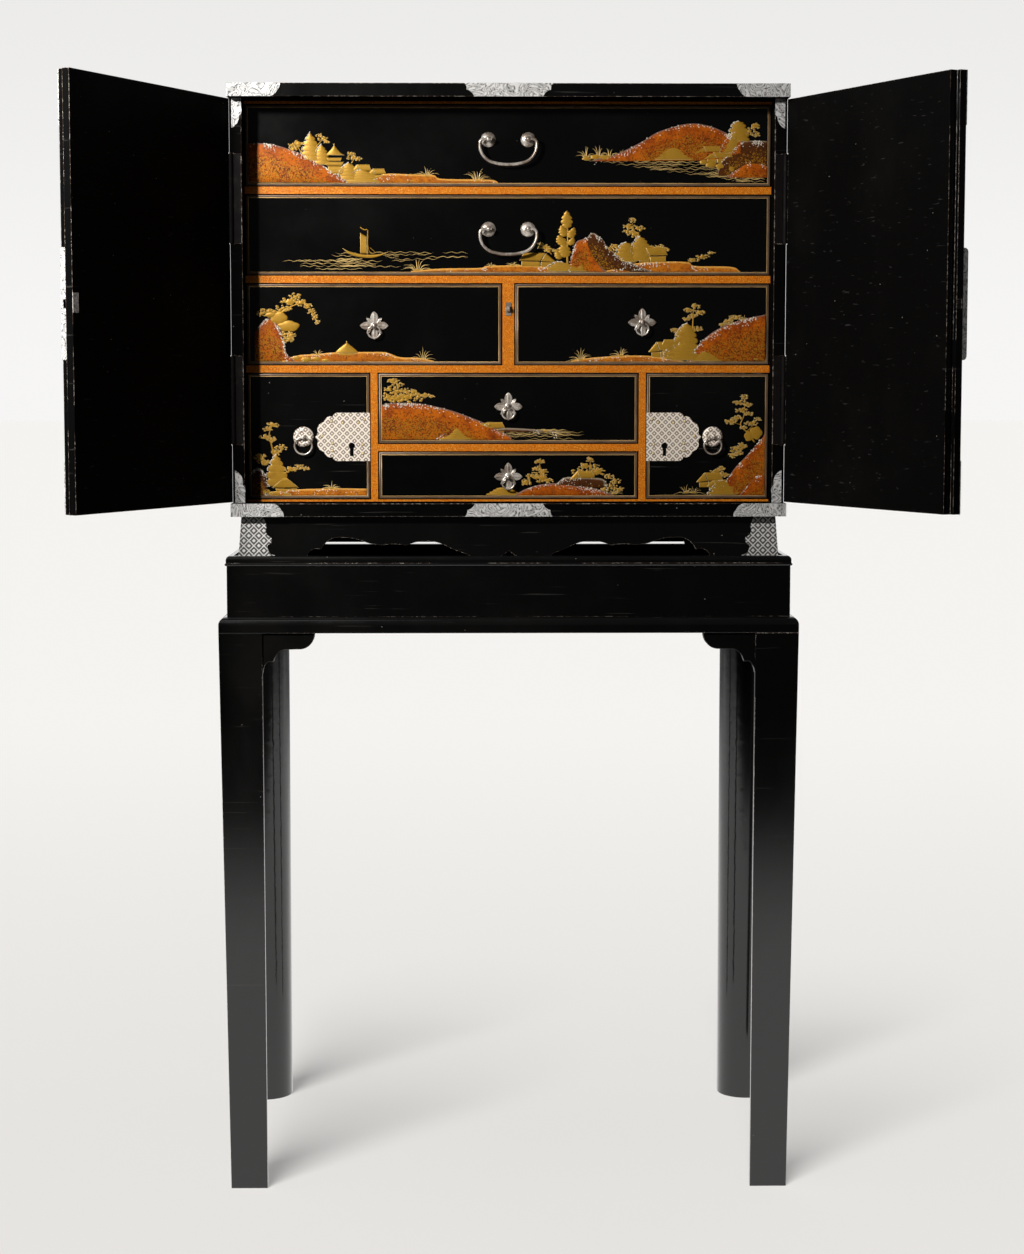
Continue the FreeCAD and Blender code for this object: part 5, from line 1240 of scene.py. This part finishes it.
p.hill(p.rust, [(216, 12), (221, 17), (238, 35), (258, 48), (286, 58), (312.2, 63.5)], lichen=190,
       height=0.8)
p.pads([(264, 54, 5, 3), (270, 58, 4, 3.4), (277, 59, 5, 2.4), (258, 50, 4, 2.4)])
p.reeds(268, 50, 16, 12, 6)
p.reeds(284, 55, 14, 10, 6)
p.stone([(216, 5), (221, 12), (229, 16), (236, 17)], [(258, 5), (254, 10), (246, 14), (236, 17)],
        1.1)
for middle, foot in ((262, 8), (276, 14), (288, 10), (301, 16), (300, 7)):
    p.reeds(middle, foot, 26, 9, 8, 0.45)
p.finish()

# %% [markdown]
# ## The two centre drawers
# A broad hill with a grove on its top fills the left of the upper one, and huts stand at the
# water's edge. The lower one is narrow: low hills with groves and a hut.

# %% Centre drawers' pictures
p = Picture("centre_upper")
p.hill(p.rust,
       [(BORDER, 49), (14, 51), (32, 51.5), (55, 50), (90, 42), (130, 27), (150, 17), (166, 8)],
       lichen=200, height=0.9)
p.tree([(20, 52), (21, 64), (19, 74)], [(18, 78, 8, 3), (25, 73, 7, 3), (14, 68, 7, 3),
                                        (24, 65, 9, 4), (13, 58, 7, 5), (24, 56, 10, 5)], 1.4)
p.pads([(36, 58, 8, 6), (44, 64, 5, 4), (50, 58, 7, 5), (58, 60, 5, 3), (66, 59, 5, 2),
        (34, 66, 5, 3)])
p.hut(106, 10, 36, 16)
p.hut(126, 13, 32, 14)
p.stone([(74, 5), (82, 11), (90, 17), (97, 20)], [(118, 5), (114, 10), (106, 16), (97, 20)], 1.0)
p.hill(p.brown, [(140, 16), (156, 19.5), (186, 18.5), (212, 16), (230, 15)], lichen=20, foot=14.6,
       height=0.5)
p.reeds(208, 15, 44, 6, 12)
p.water(130, 15, 126, 9, 0.0, 0.95)
p.water(150, 17, 108, 6, -3.0, 0.9)
p.finish()

p = Picture("centre_lower")
p.stone([(134, 5), (142, 10), (150, 14), (156, 14.5)],
        [(176, 4.5), (172, 9), (164, 13), (156, 14.5)], 0.8, beaded=False)
p.hill(p.rust, [(170, 5), (182, 12), (200, 18), (222, 20), (250, 17), (276, 12), (294, 5)],
       lichen=110, height=0.8)
p.hill(p.brown, [(220, 18), (232, 27), (246, 27.5), (262, 27), (280, 25), (286, 14)], lichen=70,
       foot=14, height=0.6)
p.tree([(201, 20), (202, 34), (201, 44)], [(201, 47, 6, 3), (198, 38, 6, 3), (206, 34, 6, 4),
                                           (192, 29, 8, 4), (204, 26, 9, 5), (212, 23, 6, 3),
                                           (184, 21, 6, 4)], 1.3)
p.tree([(263, 26), (264, 40), (264, 46)], [(264, 49, 5, 3), (258, 41, 7, 3.6), (270, 40, 6, 3),
                                           (250, 34, 8, 4), (274, 34, 8, 4.4), (262, 32, 9, 4)],
       1.3)
p.hut(238, 18, 32, 17)
p.pads([(288, 28, 6, 3), (296, 22, 6, 3), (290, 16, 7, 3), (300, 12, 6, 3), (282, 12, 5, 3)], 9,
       0.4)
p.reeds(294, 6, 22, 14, 8)
p.finish()

# %% [markdown]
# ## The two small doors
# Each has a tall pine at its outer side, over a hut and a strand at the left, and over two bare
# slopes that run into the border at the right.

# %% Small doors' pictures
p = Picture("side_left")
p.hill(p.brown, [(BORDER, 34), (12, 40), (20, 34), (24, 22), (22, 10), (28, 5)], lichen=70,
       height=0.8)
p.tree([(33, 52), (30, 66), (27, 80), (30, 90)], [(31, 92, 8, 3), (25, 87, 6, 2.6), (22, 77, 8, 3),
                                                  (31, 74, 6, 3), (41, 64, 8, 3.4),
                                                  (34, 58, 7, 3.4), (15, 53, 7, 4), (20, 46, 8, 4)],
       1.5)
p.stone([(24, 16), (25, 34), (31, 50), (35, 56)], [(50, 16), (47, 34), (41, 48), (35, 56)], 1.1)
p.tree([(44, 32), (56, 36), (70, 38)], [(53, 37, 8, 3.4), (63, 40, 7, 2.8), (71, 38, 6, 2.2)], 1.0)
p.quad([(45.5, 27), (47.5, 27)], [(29, 13.5), (64, 13.5)], 1.2)
p.quad([(34, 13.2), (61, 13.2)], [(36, 8), (59, 8)], 0.5)
p.hill(p.shore, [(26, 5), (40, 11), (70, 12.5), (110, 13.5), (148, 13)], lichen=80, height=0.6)
p.boulders([(34, 7, 9, 3), (48, 6, 8, 2.6), (22, 9, 6, 4)])
p.reeds(104, 13, 28, 12, 7, 0.7)
p.water(44, 7, 60, 2, 0.0, 0.9)
p.finish()

p = Picture("side_right")
p.hill(p.rust, [(96, 14), (101, 24), (112, 40), (124, 53), (137, 68), (148.4, 81)], lichen=60,
       height=0.8)
p.hill(p.rust, [(118, 5), (121, 9), (130, 21), (139, 29), (148.4, 34)], lichen=24, height=1.3)
p.tree([(136, 70), (127, 82), (118, 92), (122, 104), (123, 122)],
       [(122, 127, 5, 3), (116, 120, 7, 3), (127, 117, 6, 2.6), (119, 110, 8, 3),
        (128, 106, 6, 2.4), (106, 96, 8, 3), (113, 101, 6, 2.6), (131, 94, 8, 3), (139, 99, 5, 2.4),
        (121, 89, 5, 2.4)], 1.3, [[(119, 92), (108, 95)], [(126, 84), (136, 94)]])
p.boulders([(137, 82, 9, 9), (128, 78, 6, 7)])
p.pads([(112, 62, 7, 4), (120, 66, 6, 3.4), (108, 54, 5, 3), (116, 57, 6, 3)], 9, 0.4)
p.hut(63, 14, 34, 19)
p.hut(76, 10, 28, 14)
p.stone([(78, 5), (84, 14), (91, 22), (96, 23)], [(116, 5), (112, 12), (104, 19), (96, 23)], 1.1)
p.pads([(88, 34, 7, 3), (98, 30, 6, 3), (94, 38, 5, 2.4)], 9, 0.4)
for middle in (50, 60, 104, 114):
    p.reeds(middle, 7, 26, 15, 8)
p.water(8, 7.5, 116, 3, 0.0, 0.95)
p.finish()

# %% [markdown]
# ## The floor
# A broad pale floor runs on to a pale surround. The camera sees its paper as a glow of nearly
# even level, a third of which is a share of its own that no lamp changes, so the shadows stay
# light. Light that bounces off the floor is weak, since the paper is nearly black to bounced
# light: painted shade on the undersides and on the faces in shadow.
# Polished lacquer mirrors whatever stands before it, so the floor that gloss sees is bright near
# the feet and dark further out, and dark towards the camera's side.

# %% Floor
FLOOR_HALF = 60.0
PAPER, PAPER_DARKENED_FOR_BOUNCES = (0.80, 0.79, 0.775, 1), (0.035, 0.034, 0.033, 1)
NEAR_GLOW, FAR_GLOW = (0.87, 0.86, 0.845, 1), (1.287, 1.278, 1.272, 1)
GLOW_SHARE = 0.30
SIDE_CLEAR, FRONT_CLEAR = 1.2, 2.4   # how far the near part of the floor reaches, in metres
floor_mesh = bpy.data.meshes.new("studio_floor")
floor_corners = [(x * FLOOR_HALF, y * FLOOR_HALF, 0) for x, y in ((-1, -1), (1, -1), (1, 1), (-1, 1))]
floor_mesh.from_pydata(floor_corners, [], [(0, 1, 2, 3)])
floor = bpy.data.objects.new("studio_floor", floor_mesh)
scene.collection.objects.link(floor)
f = Finish("studio_paper", Roughness=0.9)
rays = f.add("LightPath").outputs
# Bounced light sees the paper nearly black: painted shade on what faces the floor.
f.set(Base_Color=f.blend(rays["Is Diffuse Ray"], PAPER, PAPER_DARKENED_FOR_BOUNCES))
seen = f.math("MULTIPLY", rays["Is Camera Ray"], GLOW_SHARE)
aside = f.math("SUBTRACT", f.math("ABSOLUTE", f.x), SIDE_CLEAR)
before = f.math("SUBTRACT", -FRONT_CLEAR, f.y)
away = f.math("MAXIMUM", f.y, f.math("MAXIMUM", aside, before))
ahead = f.math("MULTIPLY", f.spread(f.y, -2.7, -1.25, 0.0, 0.86), f.spread(away, 0.2, 5.0, 1.0, 0.12))
glow = f.add("Emission", Color=f.blend(f.spread(away, -0.4, 4.6), NEAR_GLOW, FAR_GLOW),
             Strength=f.math("MAXIMUM", rays["Is Camera Ray"], ahead))
f.fill(f.output, {"Surface": f.mix(f.math("MAXIMUM", seen, f.mirrored(rays)), f.shader.outputs[0],
                                   glow.outputs[0])})
floor_mesh.materials.append(f.material)
print("floor:", floor.name)

# %% [markdown]
# ## The surround
# The camera sees a pale backdrop, gloss sees one that is dark towards the camera's side, and the
# dull surfaces get a faint fill from it.

# %% Surround
FILL = 0.03
FILL_COLOUR = (1.0, 0.985, 0.965, 1)
HORIZON, ZENITH = (0.925, 0.918, 0.912, 1), (0.838, 0.832, 0.818, 1)
DARK_MIRROR, PALE_MIRROR = 0.022, 0.85
world = bpy.data.worlds.new("studio")
scene.world = world
world.use_nodes = True
w = Nodes(world.node_tree)
way = w.add("SeparateXYZ", Vector=w.add("TexCoord").outputs["Generated"]).outputs
rays = w.add("LightPath").outputs
sky = w.blend(w.spread(way["Z"], 0.0, 0.16), HORIZON, ZENITH)
fill = w.add("Background", Color=FILL_COLOUR, Strength=FILL).outputs[0]
for_gloss = w.add("Background", Color=HORIZON,
                  Strength=w.spread(way["Y"], -0.15, 0.7, DARK_MIRROR, PALE_MIRROR)).outputs[0]
backdrop = w.add("Background", Color=sky, Strength=1.0).outputs[0]
unseen = w.mix(w.mirrored(rays), fill, for_gloss)
w.add("OutputWorld", Surface=w.mix(rays["Is Camera Ray"], unseen, backdrop))
print("surround ready, fill", FILL)

# %% [markdown]
# ## The lamps
# A small key lamp stands near, at the left front. It draws the drawers' relief and the edge of
# the open door's shadow, and its light falls off to the right. It is kept off the floor, which
# has two lamps of its own: one for the short soft shadows behind the feet, so only the legs cast
# them, and a very broad one for the shade under the stand. A weak lamp lights the top, and one
# from behind draws the mounts on the doors' outer faces, whose black panels it spares.


# %% Lamps
AIM = Vector((-0.30, -0.02, 1.10))
LAMP_COLOUR = (1.0, 0.985, 0.96)


def lamp(name, from_left, above, strength, wide, link="EXCLUDE", distance=0.0, blockers=(), spared=()):
    """A lamp that shines on the left end of the bank, from so many degrees to the left of the
    front and above the floor. Where distance is given it is a disk that stands that far away and
    wide is its size in metres. Otherwise it is far away, and wide is the angle that it fills, in
    degrees. It lights the floor alone with link as INCLUDE, and all but the floor and the spared
    nodes with EXCLUDE. Where blockers are named, only those nodes cast its shadow."""
    light = bpy.data.lights.new(name, "AREA" if distance else "SUN")
    light.energy = strength
    light.color = LAMP_COLOUR
    if distance:
        light.shape = "DISK"
        light.size = wide
    else:
        light.angle = math.radians(wide)
    side, up = math.radians(from_left), math.radians(above)
    towards = Vector((math.sin(side) * math.cos(up), math.cos(side) * math.cos(up), -math.sin(up)))
    holder = bpy.data.objects.new(name, light)
    holder.location = AIM - towards * distance
    holder.rotation_mode = "QUATERNION"
    holder.rotation_quaternion = towards.to_track_quat("-Z", "Y")
    holder.visible_camera = False
    scene.collection.objects.link(holder)
    takers = bpy.data.collections.new(name + "_takers")
    for taker in (floor, *(nodes[spared_node] for spared_node in spared)):
        takers.objects.link(taker)
    for taker in takers.collection_objects:
        taker.light_linking.link_state = link
    holder.light_linking.receiver_collection = takers
    if blockers:
        casters = bpy.data.collections.new(name + "_blockers")
        for blocker in blockers:
            casters.objects.link(nodes[blocker])
        holder.light_linking.blocker_collection = casters


lamp("key_lamp", 27, 24, 29.0, 0.13, distance=1.3)
lamp("floor_lamp", 22, 50, 3.35, 26, "INCLUDE", blockers=LEGS)
lamp("room_light", 20, 72, 0.36, 70, "INCLUDE")
lamp("top_lamp", 40, 60, 0.12, 34)
lamp("rear_lamp", 228, 24, 2.4, 40, spared=("left_door_panel", "right_door_panel", "stand_deck"))
